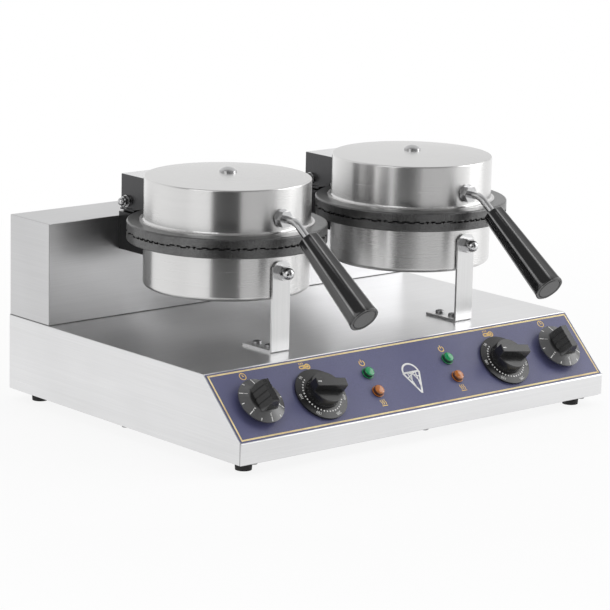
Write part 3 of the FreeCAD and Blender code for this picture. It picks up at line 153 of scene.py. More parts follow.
class ConeMakerPrint(PropertyGroup):
    """Sizes of the printed panel, the dial marks, the lamps, the seams and the grips."""

    ink: length_setting("Ink height", "Thickness of printed marks", 0.06 * MM)
    border_inset: length_setting("Border inset", "Gold line from the overlay's edge", 2.6 * MM)
    border_width: length_setting("Border width", "Width of the gold line", 1.8 * MM)
    icon: length_setting("Icon size", "Height of the control icons", 9.0 * MM)
    icon_rise: length_setting("Icon rise", "Clocks above the timer knobs", 34.6 * MM)
    thermometer: length_setting("Thermometer size", "Length of the lying thermometer", 14.0 * MM)
    thermometer_rise: length_setting("Thermometer rise", "Thermometers above their knobs", 35.4 * MM)
    lamp_icon_rise: length_setting("Lamp icon rise", "Lamp icons beyond their lamps", 13.6 * MM)
    pictogram: length_setting("Pictogram size", "Height of the cone pictogram", 46.8 * MM)
    timer_digit: length_setting("Timer digits", "Height of the minutes on the timers", 3.36 * MM)
    dial_digit: length_setting("Dial digits", "Height of the degrees on the dials", 3.024 * MM)
    timer_tick: length_setting("Timer tick", "Width of the ticks on the timers", 0.9 * MM)
    timer_edge: length_setting("Timer edge", "Bare edge round the timer ticks", 0.6 * MM)
    dial_dot: length_setting("Dial dot", "Radius of the dots on the dials", 0.9 * MM)
    dial_pointer: length_setting("Dial pointer", "Width of the pointers on the dials", 1.1 * MM)
    timer_steps: count_setting("Timer steps", "Divisions round the timer skirt", 1, 10)
    dial_steps: count_setting("Dial dots", "Spaces between the dots of the temperature dial", 1, 29)
    lens_sides: count_setting("Lens sides", "Faces round a lamp lens", 6, 40)
    seam_bead: length_setting("Seam bead", "Sealant at the foot of the housing", 0.7 * MM)
    seam_line: length_setting("Seam line", "Joint between the front lip and the side walls", 0.6 * MM)
    seam_proud: length_setting("Seam proud", "How far a joint stands over the sheet", 0.08 * MM)
    grip_flats: count_setting("Grip flats", "Flats round a handle grip", 3, 8)
    grip_ridge: length_setting("Grip ridge", "How far the ridges stand over the flats", 1.15 * MM)
    grip_edge: length_setting("Grip edge", "Rounding of a grip's ends", 1.2 * MM)
    grip_groove: length_setting("Grip groove", "Depth of the groove round a grip's end plug", 1.3 * MM)


class ConeMakerStage(PropertyGroup):
    """Camera and studio."""

    azimuth: angle_setting("Azimuth", "Camera turn from the front", -40.69)
    elevation: angle_setting("Elevation", "Camera height angle", 12.31)
    roll: angle_setting("Roll", "Camera tilt about its view", 1.31)
    distance: length_setting("Distance", "Camera to target", 3.127)
    lens: level_setting("Lens", "Focal length on a 36 mm sensor", 176.9, "CAMERA")
    target: FloatVectorProperty(name="Target", description="Point at the middle of the frame",
                                subtype="TRANSLATION", size=3, default=(-0.07704, -0.06087, 0.13211))
    floor: colour_setting("Floor", "Pale studio floor", 0.82, 0.82, 0.82)
    backdrop: level_setting("Backdrop", "Brightness of the room behind", 0.91)
    shade: level_setting("Shade", "Brightness of the room in front", 0.4)
    ceiling: level_setting("Ceiling", "Brightness of the room overhead", 0.75)
    ceiling_shade: level_setting("Ceiling shade", "Brightness overhead in front", 0.26)
    key: level_setting("Key power", "Left softbox", 12.0, "POWER")
    fill: level_setting("Fill power", "Right softbox", 22.0, "POWER")
    side: level_setting("Side power", "Low softbox on the right", 5.0, "POWER")
    top: level_setting("Top power", "Overhead softbox", 26.0, "POWER")
    flag_spread: angle_setting("Flag spread", "Half angle of the dark flag", 19)
    flag_start: length_setting("Flag start", "Near edge of the dark flag", 0.42)
    flag_reach: length_setting("Flag reach", "Far edge of the dark flag", 2.2)
    flag_height: length_setting("Flag height", "Height of the dark flag", 0.7)
    scrim_spread: angle_setting("Scrim spread", "Far edge of the grey scrim", 70)
    scrim_weave: FloatProperty(name="Scrim weave", description="How much light the scrim holds back",
                               subtype="FACTOR", min=0, max=1, default=0.35)


def finish():
    return bpy.context.scene.cone_finish


def printing():
    return bpy.context.scene.cone_print


# Node helpers


def wire(tree, value, socket):
    """Links a socket to a socket, or writes a value on it."""
    if isinstance(value, NodeSocket):
        tree.links.new(value, socket)
    else:
        socket.default_value = value


def add(tree, kind, inputs=None, **settings):
    """A node with its settings, and its inputs linked or set by name or number."""
    made = tree.nodes.new(kind)
    for name, value in settings.items():
        setattr(made, name, value)
    for key, value in (inputs or {}).items():
        wire(tree, value, made.inputs[key])
    return made


def maths(tree, operation, *values):
    return add(tree, "ShaderNodeMath", dict(enumerate(values)), operation=operation).outputs[0]


def vector_maths(tree, operation, *vectors, output="Vector"):
    return add(tree, "ShaderNodeVectorMath", dict(enumerate(vectors)), operation=operation).outputs[output]


def scaled(tree, vector, gain):
    return add(tree, "ShaderNodeVectorMath", {0: vector, "Scale": gain}, operation="SCALE").outputs[0]


def part_of(tree, vector, axis):
    return add(tree, "ShaderNodeSeparateXYZ", {0: vector}).outputs[axis]


def noise(tree, vector, scale, detail=3.0, rough=0.55):
    inputs = {"Vector": vector, "Scale": scale, "Detail": detail, "Roughness": rough}
    return add(tree, "ShaderNodeTexNoise", inputs).outputs["Fac"]


def remap(tree, value, low, high, to_low, to_high):
    inputs = {"Value": value, "From Min": low, "From Max": high, "To Min": to_low, "To Max": to_high}
    return add(tree, "ShaderNodeMapRange", inputs).outputs["Result"]


def by_noise(tree, value, low, high):
    """A noise's usual values brought to the range between two others."""
    return remap(tree, value, NOISE_LOW, NOISE_HIGH, low, high)


def blend(tree, factor, a, b, kind="RGBA"):
    first, second, out = MIX_SOCKETS[kind]
    return add(tree, "ShaderNodeMix", {0: factor, first: a, second: b}, data_type=kind).outputs[out]


def weighed(tree, a, share, b):
    """One value by its share, and another by what is left."""
    return maths(tree, "MULTIPLY_ADD", a, share, maths(tree, "MULTIPLY", b, 1 - share))


def shade_of(colour, gain):
    """A colour made lighter or darker."""
    return (*(min(c * gain, 1.0) for c in colour[:3]), 1.0)


def mottled(tree, factor, colour, dark, light):
    """A colour that goes between a darker and a lighter shade of itself."""
    return blend(tree, factor, shade_of(colour, dark), shade_of(colour, light))


def sheen_round(tree, axis):
    """The direction of brushing that runs round an axis."""
    return add(tree, "ShaderNodeTangent", direction_type="RADIAL", axis=axis).outputs[0]


def rise_of(tree):
    """How far a face looks upward on the piece itself."""
    return part_of(tree, add(tree, "ShaderNodeTexCoord").outputs["Normal"], "Z")


def new_group(name, inputs, outputs):
    """An empty shader group with named sockets, its input sockets by name and its output node."""
    tree = bpy.data.node_groups.new(name, "ShaderNodeTree")
    for label, kind in inputs:
        tree.interface.new_socket(name=label, in_out="INPUT", socket_type=kind)
    for label, kind in outputs:
        tree.interface.new_socket(name=label, in_out="OUTPUT", socket_type=kind)
    return tree, tree.nodes.new("NodeGroupInput").outputs, tree.nodes.new("NodeGroupOutput").inputs


def use_group(tree, group, inputs):
    return add(tree, "ShaderNodeGroup", inputs, node_tree=group).outputs


# Shared surface effects


def brushed_grain():
    """Fine parallel scratches and slow cloudy patches in coordinates stretched along the brushing."""
    name = "Brushed grain"
    if name in bpy.data.node_groups:
        return bpy.data.node_groups[name]
    tree, given, out = new_group(
        name,
        [("Grain", "NodeSocketVector"), ("Place", "NodeSocketVector")],
        [("Scratch", "NodeSocketFloat"), ("Cloud", "NodeSocketFloat")],
    )
    wider = (0.23, 0.23, 0.23)
    coarse_share = 0.35
    fine = noise(tree, given["Grain"], scale=1.0, detail=5.0, rough=0.7)
    coarse = noise(tree, vector_maths(tree, "MULTIPLY", given["Grain"], wider), scale=1.0, detail=2.0)
    wire(tree, weighed(tree, coarse, coarse_share, fine), out["Scratch"])
    wire(tree, noise(tree, given["Place"], scale=9.0, rough=0.5), out["Cloud"])
    return tree


def moulded_skin():
    """The faint pebble and handling marks of a moulded or cast surface."""
    name = "Moulded skin"
    if name in bpy.data.node_groups:
        return bpy.data.node_groups[name]
    tree, given, out = new_group(
        name,
        [("Place", "NodeSocketVector"), ("Grain Size", "NodeSocketFloat")],
        [("Pebble", "NodeSocketFloat"), ("Rub", "NodeSocketFloat")],
    )
    wire(tree, noise(tree, given["Place"], given["Grain Size"], detail=4.0, rough=0.6), out["Pebble"])
    wire(tree, noise(tree, given["Place"], scale=38.0, detail=5.0, rough=0.6), out["Rub"])
    return tree


def round_about():
    """Coordinates round an upright axis: angle, radius and height, for turned and brushed drums."""
    name = "Round about"
    if name in bpy.data.node_groups:
        return bpy.data.node_groups[name]
    tree, given, out = new_group(
        name,
        [("Place", "NodeSocketVector"), ("Axis", "NodeSocketVector"), ("Rates", "NodeSocketVector")],
        [("Turned", "NodeSocketVector")],
    )
    from_axis = vector_maths(tree, "SUBTRACT", given["Place"], given["Axis"])
    x, y, z = add(tree, "ShaderNodeSeparateXYZ", {0: from_axis}).outputs
    angle = maths(tree, "ARCTAN2", y, x)
    squares = maths(tree, "MULTIPLY_ADD", x, x, maths(tree, "MULTIPLY", y, y))
    joined = add(tree, "ShaderNodeCombineXYZ", {0: angle, 1: maths(tree, "SQRT", squares), 2: z})
    wire(tree, vector_maths(tree, "MULTIPLY", joined.outputs[0], given["Rates"]), out["Turned"])
    return tree


# Materials


def new_material(name, **constants):
    """A material with one surface shader and constant values set on its own sockets."""
    material = bpy.data.materials.new(name)
    material.use_nodes = True
    tree = material.node_tree
    shader = tree.nodes["Principled BSDF"]
    for label, value in constants.items():
        shader.inputs[label.replace("_", " ")].default_value = value
    place = add(tree, "ShaderNodeTexCoord").outputs["Object"]
    return material, tree, shader, place


def dress(tree, shader, tint, rough, height, bump, depth):
    """Wires a surface's colour, roughness and relief to its shader."""
    wire(tree, tint, shader.inputs["Base Color"])
    wire(tree, rough, shader.inputs["Roughness"])
    relief = add(tree, "ShaderNodeBump", {"Strength": bump, "Distance": depth, "Height": height})
    wire(tree, relief.outputs["Normal"], shader.inputs["Normal"])


def skin_of(tree, place, grain):
    return use_group(tree, moulded_skin(), {"Place": place, "Grain Size": grain})


def brush(tree, shader, place, strokes, colour, rough, bump=0.08, spread=0.08):
    """Brushed steel from coordinates stretched along its strokes, lighter and darker by a spread."""
    cloud_share = 0.35
    grain = use_group(tree, brushed_grain(), {"Grain": strokes, "Place": place})
    tone = weighed(tree, grain["Cloud"], cloud_share, grain["Scratch"])
    tint = mottled(tree, by_noise(tree, tone, 0.0, 1.0), colour, dark=1 - spread, light=1 + spread)
    gloss = by_noise(tree, tone, rough * (1 + spread), rough * (1 - spread))
    dress(tree, shader, tint, gloss, grain["Scratch"], bump, BRUSH_DEPTH)


def sheet_steel(name, colour, rough=0.29):
    """Folded sheet brushed along X, and along Y on the end walls."""
    material, tree, shader, place = new_material(name, Metallic=1.0, Anisotropic=0.5)
    wire(tree, sheen_round(tree, "X"), shader.inputs["Tangent"])
    slow, fine = SHEET_GRAIN
    along_x = vector_maths(tree, "MULTIPLY", place, (slow, fine, fine))
    along_y = vector_maths(tree, "MULTIPLY", place, (fine, slow, fine))
    normal = add(tree, "ShaderNodeNewGeometry").outputs["True Normal"]
    sideways = maths(tree, "ABSOLUTE", part_of(tree, normal, "X"))
    end_wall = 0.7
    is_end = maths(tree, "GREATER_THAN", sideways, end_wall)
    brush(tree, shader, place, blend(tree, is_end, along_x, along_y, "VECTOR"), colour, rough)
    return material


def turned_steel(name, colour, axis, rough=0.27):
    """Steel brushed round an upright axis, whose flat top has a straight sheen."""
    material, tree, shader, place = new_material(
        name, Metallic=1.0, Anisotropic=0.8, Anisotropic_Rotation=0.25)
    slow, fine = DRUM_GRAIN
    inputs = {"Place": place, "Axis": axis, "Rates": (slow, fine, fine)}
    strokes = use_group(tree, round_about(), inputs)["Turned"]
    brush(tree, shader, place, strokes, colour, rough, bump=0.018, spread=0.04)
    flat_top = 0.9
    is_top = maths(tree, "GREATER_THAN", rise_of(tree), flat_top)
    sheen = blend(tree, is_top, sheen_round(tree, "Z"), sheen_round(tree, "X"), "VECTOR")
    wire(tree, sheen, shader.inputs["Tangent"])
    return material


def up_strap(tree, place):
    """Coordinates stretched up the length of a strap."""
    slow, fine = STRAP_GRAIN
    return vector_maths(tree, "MULTIPLY", place, (fine, fine, slow))


def strap_steel(name, colour, rough=0.3):
    """Bent strap brushed up its length."""
    material, tree, shader, place = new_material(name, Metallic=1.0, Anisotropic=0.3)
    brush(tree, shader, place, up_strap(tree, place), colour, rough)
    return material


def topped_strap(name, colour, painted_top_colour, rough):
    """Strap with painted shade darkening its sides and a painted highlight brightening its top sheet, told by
    each face's own direction on the bracket.
    """
    material, tree, shader, place = new_material(name, Metallic=1.0)
    grain = use_group(tree, brushed_grain(), {"Grain": up_strap(tree, place), "Place": place})
    # painted highlight on faces that look up, painted shade on the rest
    shade_below, highlight_above = 0.6, 0.9
    painted_top_share = remap(tree, rise_of(tree), shade_below, highlight_above, 0.0, 1.0)
    streak = by_noise(tree, grain["Scratch"], 0.88, 1.12)
    tint = scaled(tree, blend(tree, painted_top_share, colour, painted_top_colour), streak)
    gloss = by_noise(tree, grain["Cloud"], rough * 0.9, rough * 1.15)
    dress(tree, shader, tint, gloss, grain["Scratch"], bump=0.08, depth=BRUSH_DEPTH)
    return material


def polished_steel(name, colour, rough=0.13):
    """Bright turned hardware with faint handling haze."""
    material, tree, shader, place = new_material(name, Metallic=1.0)
    skin = skin_of(tree, place, grain=1600.0)
    tint = mottled(tree, skin["Rub"], colour, dark=0.88, light=1.08)
    gloss = by_noise(tree, skin["Rub"], rough * 0.7, rough * 1.5)
    dress(tree, shader, tint, gloss, skin["Pebble"], bump=0.04, depth=BRUSH_DEPTH)
    return material


def cast_metal(name, colour):
    """Seasoned casting with a fine sandy skin."""
    material, tree, shader, place = new_material(name, Metallic=0.9)
    skin = skin_of(tree, place, grain=1150.0)
    pebble_share = 0.8
    grit = weighed(tree, skin["Pebble"], pebble_share, skin["Rub"])
    dull, clear = 0.35, 0.65
    tint = mottled(tree, remap(tree, grit, dull, clear, 0.0, 1.0), colour, dark=0.5, light=1.9)
    gloss = by_noise(tree, skin["Rub"], 0.27, 0.36)
    dress(tree, shader, tint, gloss, skin["Pebble"], bump=0.5, depth=2 * PEBBLE_DEPTH)
    return material


def moulded(name, colour, rough, pebble=0.08, grain=1400.0, mottle="Rub", **constants):
    """Moulded plastic, rubber or print, mottled by rubbed patches or by its fine pebble."""
    material, tree, shader, place = new_material(name, **constants)
    skin = skin_of(tree, place, grain)
    tint = mottled(tree, by_noise(tree, skin[mottle], 0.0, 1.0), colour, dark=0.8, light=1.3)
    gloss = by_noise(tree, skin["Rub"], rough * 0.85, rough * 1.15)
    dress(tree, shader, tint, gloss, skin["Pebble"], pebble, PEBBLE_DEPTH)
    return material


def printed(name, colour, rough=0.5):
    """Screen print with a fine even skin."""
    return moulded(name, colour, rough, pebble=0.05, grain=2600.0)


def ridged_gloss(name, colour, worn):
    """Glossy moulded plastic with a painted highlight along its ridges, broken up by noise."""
    material, tree, shader, place = new_material(name, IOR=1.72)
    skin = skin_of(tree, place, grain=1500.0)
    # the ridge attribute holds the share of the painted highlight
    ridge = add(tree, "ShaderNodeAttribute", attribute_name="ridge").outputs["Fac"]
    ridge_sheen_share = maths(tree, "MULTIPLY", ridge, by_noise(tree, skin["Rub"], 0.5, 1.0))
    tint = blend(tree, ridge_sheen_share, colour, worn)
    gloss = by_noise(tree, skin["Rub"], 0.08, 0.13)
    dress(tree, shader, tint, gloss, skin["Pebble"], bump=0.02, depth=PEBBLE_DEPTH)
    return material


def skirted(name, colour, skirt, joint):
    """A moulded knob whose skirt is painted greyer than its grip as a painted reflection, told apart by the
    distance from the knob's axis.
    """
    material, tree, shader, place = new_material(name, IOR=1.6)
    from_axis = vector_maths(tree, "SUBTRACT", place, joints[joint]["pos_m"])
    across = vector_maths(tree, "CROSS_PRODUCT", from_axis, panel_out)
    radius = vector_maths(tree, "LENGTH", across, output="Value")
    grip_rim, skirt_start = 15.0 * MM, 16.5 * MM
    # painted reflection: the skirt takes the greyer colour
    base = blend(tree, remap(tree, radius, grip_rim, skirt_start, 0.0, 1.0), colour, skirt)
    skin = skin_of(tree, place, grain=1700.0)
    tint = scaled(tree, base, by_noise(tree, skin["Rub"], 0.8, 1.25))
    gloss = by_noise(tree, skin["Rub"], 0.21, 0.29)
    dress(tree, shader, tint, gloss, skin["Pebble"], bump=0.1, depth=PEBBLE_DEPTH)
    return material


def fibre_pad(name, colour):
    """Matted mineral wool."""
    material, tree, shader, place = new_material(name)
    skin = skin_of(tree, place, grain=420.0)
    tint = mottled(tree, skin["Pebble"], colour, dark=0.55, light=1.25)
    gloss = by_noise(tree, skin["Rub"], 0.85, 1.0)
    dress(tree, shader, tint, gloss, skin["Pebble"], bump=0.8, depth=0.6 * MM)
    return material


def tinted_lens(name, colour, glow):
    """A translucent coloured lens, with painted shade on its sides and a painted highlight on its face, told
    by how far each face looks out of the panel; its glow takes the same colour.
    """
    material, tree, shader, place = new_material(
        name, IOR=1.49, Transmission_Weight=0.35, Coat_Weight=0.8, Coat_Roughness=0.04,
        Emission_Strength=glow)
    skin = skin_of(tree, place, grain=620.0)
    rubbed = mottled(tree, skin["Rub"], colour, dark=0.75, light=1.3)
    normal = add(tree, "ShaderNodeNewGeometry").outputs["Normal"]
    facing = vector_maths(tree, "DOT_PRODUCT", normal, panel_out, output="Value")
    # painted shade on the lens sides, painted highlight on its face
    side, face = 0.25, 0.85
    tint = scaled(tree, rubbed, remap(tree, facing, side, face, 0.14, 1.2))
    wire(tree, tint, shader.inputs["Emission Color"])
    gloss = by_noise(tree, skin["Rub"], 0.04, 0.1)
    dress(tree, shader, tint, gloss, skin["Pebble"], bump=0.05, depth=0.1 * MM)
    return material


def paint(material, *names):
    """Gives a material to CAD nodes."""
    for name in names:
        slots = nodes[name].data.materials
        slots.clear()
        slots.append(material)


def both_sides(name):
    return [side + "_" + name for side in SIDES]


# Mesh helpers


def placed(name, data):
    """A new object in the scene."""
    made = bpy.data.objects.new(name, data)
    bpy.context.scene.collection.objects.link(made)
    return made


def new_piece(name, mesh, material, body):
    """A finished mesh as a piece that rides on a body."""
    piece = placed(name, mesh)
    mesh.materials.clear()
    mesh.materials.append(material)
    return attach(piece, body)


def finished(build, name):
    """What was built, as a mesh."""
    mesh = bpy.data.meshes.new(name)
    build.to_mesh(mesh)
    build.free()
    return mesh


def stitch(build, rings):
    """Faces from each ring of points to the next."""
    faces = []
    for near, far in zip(rings, rings[1:]):
        for i in range(len(near)):
            j = (i + 1) % len(near)
            faces.append(build.faces.new((near[i], near[j], far[j], far[i])))
    return faces


def middle_of(node):
    """The upright axis through the middle of a node, as a point on the floor."""
    low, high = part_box(node)
    return Vector(((low.x + high.x) / 2, (low.y + high.y) / 2, 0))


# Flat outlines


def ray(turn):
    """The flat direction at an angle."""
    return Vector((math.cos(turn), math.sin(turn)))


def turns(steps):
    """Even angles all the way round."""
    return [FULL_TURN * i / steps for i in range(steps)]


def strip(start, end, width):
    """A straight bar between two points, as one outline."""
    a, b = Vector(start), Vector(end)
    along = (b - a).normalized()
    edge = Vector((-along.y, along.x)) * (width / 2)
    return [a - edge, b - edge, b + edge, a + edge]


def bow(centre, radius, width, first, last, steps):
    """An arc with a width, between two angles in degrees, as short outlines."""
    c = Vector(centre)
    inner, outer = radius - width / 2, radius + width / 2
    rays = [ray(math.radians(first + (last - first) * i / steps)) for i in range(steps + 1)]
    return [[c + a * inner, c + a * outer, c + b * outer, c + b * inner] for a, b in zip(rays, rays[1:])]


def disc(centre, radius, steps):
    c = Vector(centre)
    return [c + ray(turn) * radius for turn in turns(steps)]


def stamped(outlines, centre, size=1.0, turn=0.0):
    """Outlines scaled, turned and moved to a place."""
    c, spin = Vector(centre), Matrix.Rotation(turn, 2)
    return [[c + spin @ (p * size) for p in outline] for outline in outlines]


def digits(text, height, centre, turn=0.0):
    """The outlines of a number, centred on a point and turned by an angle."""
    digit_share = 0.7
    curve = bpy.data.curves.new("digits", "FONT")
    curve.body = text
    curve.size = height / digit_share
    curve.align_x = "CENTER"
    curve.align_y = "CENTER"
    curve.resolution_u = 3
    carrier = placed("digits", curve)
    mesh = bpy.data.meshes.new_from_object(carrier.evaluated_get(bpy.context.evaluated_depsgraph_get()))
    outlines = [[mesh.vertices[i].co.to_2d() for i in face.vertices] for face in mesh.polygons]
    bpy.data.objects.remove(carrier)
    bpy.data.curves.remove(curve)
    bpy.data.meshes.remove(mesh)
    return stamped(outlines, centre, turn=turn)


# Print


def on_overlay(p, rise):
    """A point of the panel, from x and the distance up the slope, on the overlay's face."""
    return Vector((p.x, 0, 0)) + panel_up * p.y + panel_out * (panel_face + rise)


def on_knob(node, joint):
    """A function that sets dial marks down on a knob's own surface."""
    axis_point = Vector(joints[joint]["pos_m"])
    mesh = nodes[node].data
    tree = BVHTree.FromPolygons([v.co for v in mesh.vertices], [p.vertices for p in mesh.polygons])
    reach = 0.1

    def lift(p, rise):
        above = axis_point + Vector((p.x, 0, 0)) + panel_up * p.y + panel_out * reach
        hit = tree.ray_cast(above, -panel_out)[0]
        return hit + panel_out * rise

    return lift


def print_piece(name, outlines, lift, ink, body):
    """Thin raised print as a piece: each flat outline is lifted to a surface by a function of its place."""
    build = bmesh.new()
    for outline in outlines:
        low = [build.verts.new(lift(p, 0.0)) for p in outline]
        high = [build.verts.new(lift(p, printing().ink)) for p in outline]
        build.faces.new(high)
        stitch(build, [low, high])
    bmesh.ops.recalc_face_normals(build, faces=build.faces)
    new_piece(name, finished(build, name), ink, body)


def knob_place(joint):
    """A knob's middle as x and the distance up the slope."""
    p = Vector(joints[joint]["pos_m"])
    return Vector((p.x, p.dot(panel_up)))


def knob_rim(node):
    low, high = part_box(node)
    return (high.x - low.x) / 2


def lamp_place(node, side):
    """A lamp's middle as x and the distance up the slope."""
    points = [v.co for v in nodes[node].data.vertices if (v.co.x > 0) == (side == "right")]
    xs = [p.x for p in points]
    ups = [p.dot(panel_up) for p in points]
    return Vector(((min(xs) + max(xs)) / 2, (min(ups) + max(ups)) / 2))


# Icons, drawn about their middles for a height of one


def clock_icon():
    line = 0.1
    hands = [strip((0, -0.03), (0, 0.27), line), strip((-0.03, 0), (0.2, 0), line)]
    return bow((0, 0), 0.42, line, 0, 360, 36) + hands


def thermometer_icon():
    """A filled bulb and stem in an open tube, with three marks beside it."""
    line, tube, top, bulb = 0.09, 0.11, 0.36, (0, -0.28)
    outlines = bow((0, top), tube, line, 0, 180, 14) + bow(bulb, 0.2, line, -238, 58, 26)
    outlines += [strip((x, -0.12), (x, top), line) for x in (-tube, tube)]
    outlines += [disc(bulb, 0.1, 16), strip(bulb, (0, 0.15), line)]
    return outlines + [strip((0.24, y), (0.4, y), 0.7 * line) for y in (0.04, 0.2, top)]


def power_icon():
    """An open ring with a stroke in its gap."""
    line = 0.12
    return bow((0, -0.04), 0.36, line, 125, 415, 30) + [strip((0, 0.02), (0, 0.46), line)]


def heat_icon():
    """Three wavy risers over a bar."""
    line, steps, foot, rise, sway = 0.09, 12, -0.25, 0.68, 0.07
    outlines = [strip((-0.42, -0.4), (0.42, -0.4), line)]
    for x in (-0.28, 0.0, 0.28):
        shares = [i / steps for i in range(steps + 1)]
        wave = [(x + sway * math.sin(FULL_TURN * share), foot + rise * share) for share in shares]
        outlines += [strip(a, b, line) for a, b in zip(wave, wave[1:])]
    return outlines


def cone_icon():
    """A plain waffle cone with crossed lines and a round scoop."""
    line, half, brim, tip = 0.045, 0.24, 0.06, Vector((0, -0.5))
    left, right = Vector((-half, brim)), Vector((half, brim))
    outlines = [strip(left, right, line), strip(left, tip, line), strip(right, tip, line)]
    for share in (0.25, 0.5, 0.75):
        top = left.lerp(right, share)
        ends = left.lerp(tip, 1 - share), right.lerp(tip, share)
        outlines += [strip(top, end, 0.6 * line) for end in ends]
    return outlines + bow((0, brim), 0.92 * half, line, 0, 180, 30)


# Operators


class ConeMakerCabinet(Operator):
    """Finishes the cabinet, the housing, their covers, feet and screws, and darkens the sheet joints"""

    bl_idname = "cone_maker.cabinet"
    bl_label = "Cabinet"

    def execute(self, context):
        look = finish()
        paint(sheet_steel("Brushed sheet", look.sheet), "base_shell")
        paint(sheet_steel("Housing sheet", look.housing), "rear_housing", "rear_cover")
        paint(sheet_steel("Mill sheet", shade_of(look.sheet, 0.8), rough=0.42), "bottom_plate")
        rubber = moulded("Foot rubber", look.rubber, rough=0.72, pebble=0.3, grain=1800.0)
        paint(rubber, "rubber_feet", "cord_bushing")
        paint(polished_steel("Plain fasteners", look.plain, rough=0.3), "cabinet_screws", "foot_screws",
              "bracket_screws", "front_bracket_bolts", "lower_plate_bolts")
        self.seams(moulded("Dark joint", look.seam, rough=0.6, pebble=0.2, grain=1200.0))
        return {"FINISHED"}

    def seams(self, material):
        """Dark joints where the housing stands on the deck and where the lip meets the side walls."""
        low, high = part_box("rear_housing")
        shell_low, shell_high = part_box("base_shell")
        size = printing()
        bead, line, proud = size.seam_bead, size.seam_line, size.seam_proud
        side_bead = 0.8 * bead
        deck = shell_high.z
        lip_top = (panel_out * panel_face + panel_up * panel_low).z
        build = bmesh.new()
        self.bar(build, (low.x, low.y - bead, deck - proud), (high.x, low.y + proud, deck + bead))
        for x, out in ((low.x, -1), (high.x, 1)):
            edge = (x - proud * out, x + side_bead * out)
            self.bar(build, (min(edge), low.y, deck - proud), (max(edge), high.y, deck + bead))
        corner = shell_low.y + line
        for x in (shell_low.x, shell_high.x):
            self.bar(build, (x - proud, corner, shell_low.z), (x + proud, corner + line, lip_top))
        new_piece("sheet_seams", finished(build, "sheet_seams"), material, "base")

    def bar(self, build, low, high):
        """A slim box between two corners with its edges broken."""
        made = bmesh.ops.create_cube(build, size=1.0)["verts"]
        middle = (Vector(low) + Vector(high)) / 2
        span = Vector(high) - Vector(low)
        for vert in made:
            vert.co = middle + Vector(c * s for c, s in zip(vert.co, span))
        edges = list({edge for vert in made for edge in vert.link_edges})
        broken = 0.3 * min(span)
        bmesh.ops.bevel(build, geom=edges, offset=broken, segments=2, affect="EDGES")


class ConeMakerIrons(Operator):
    """Finishes the drums, the cast plates, the brackets and the hinges"""

    bl_idname = "cone_maker.irons"
    bl_label = "Irons"

    def execute(self, context):
        look = finish()
        for side in SIDES:
            lower, upper = side + "_lower_drum", side + "_upper_drum"
            paint(turned_steel(side.title() + " turned steel", look.drum, middle_of(lower)), lower, upper)
        casting = cast_metal("Seasoned casting", look.casting)
        paint(casting, *both_sides("lower_plate"), *both_sides("upper_plate"))
        paint(strap_steel("Brushed strap", look.strap), *both_sides("front_bracket"))
        # the hinge boxes take the same very dark steel
        paint(strap_steel("Hinge strap", look.hinge, rough=0.26), *both_sides("lower_hinge"))
        # lid brackets: painted shade on their sides, painted highlight on their tops
        topped = topped_strap("Lid bracket strap", look.hinge, look.sheet, rough=0.26)
        paint(topped, *both_sides("lid_bracket"))
        bright = polished_steel("Bright hardware", look.bright)
        paint(bright, "front_bracket_nuts", "hinge_nuts", "hinge_pins", "control_nuts")
        paint(bright, *both_sides("dome_bolt"))
        return {"FINISHED"}


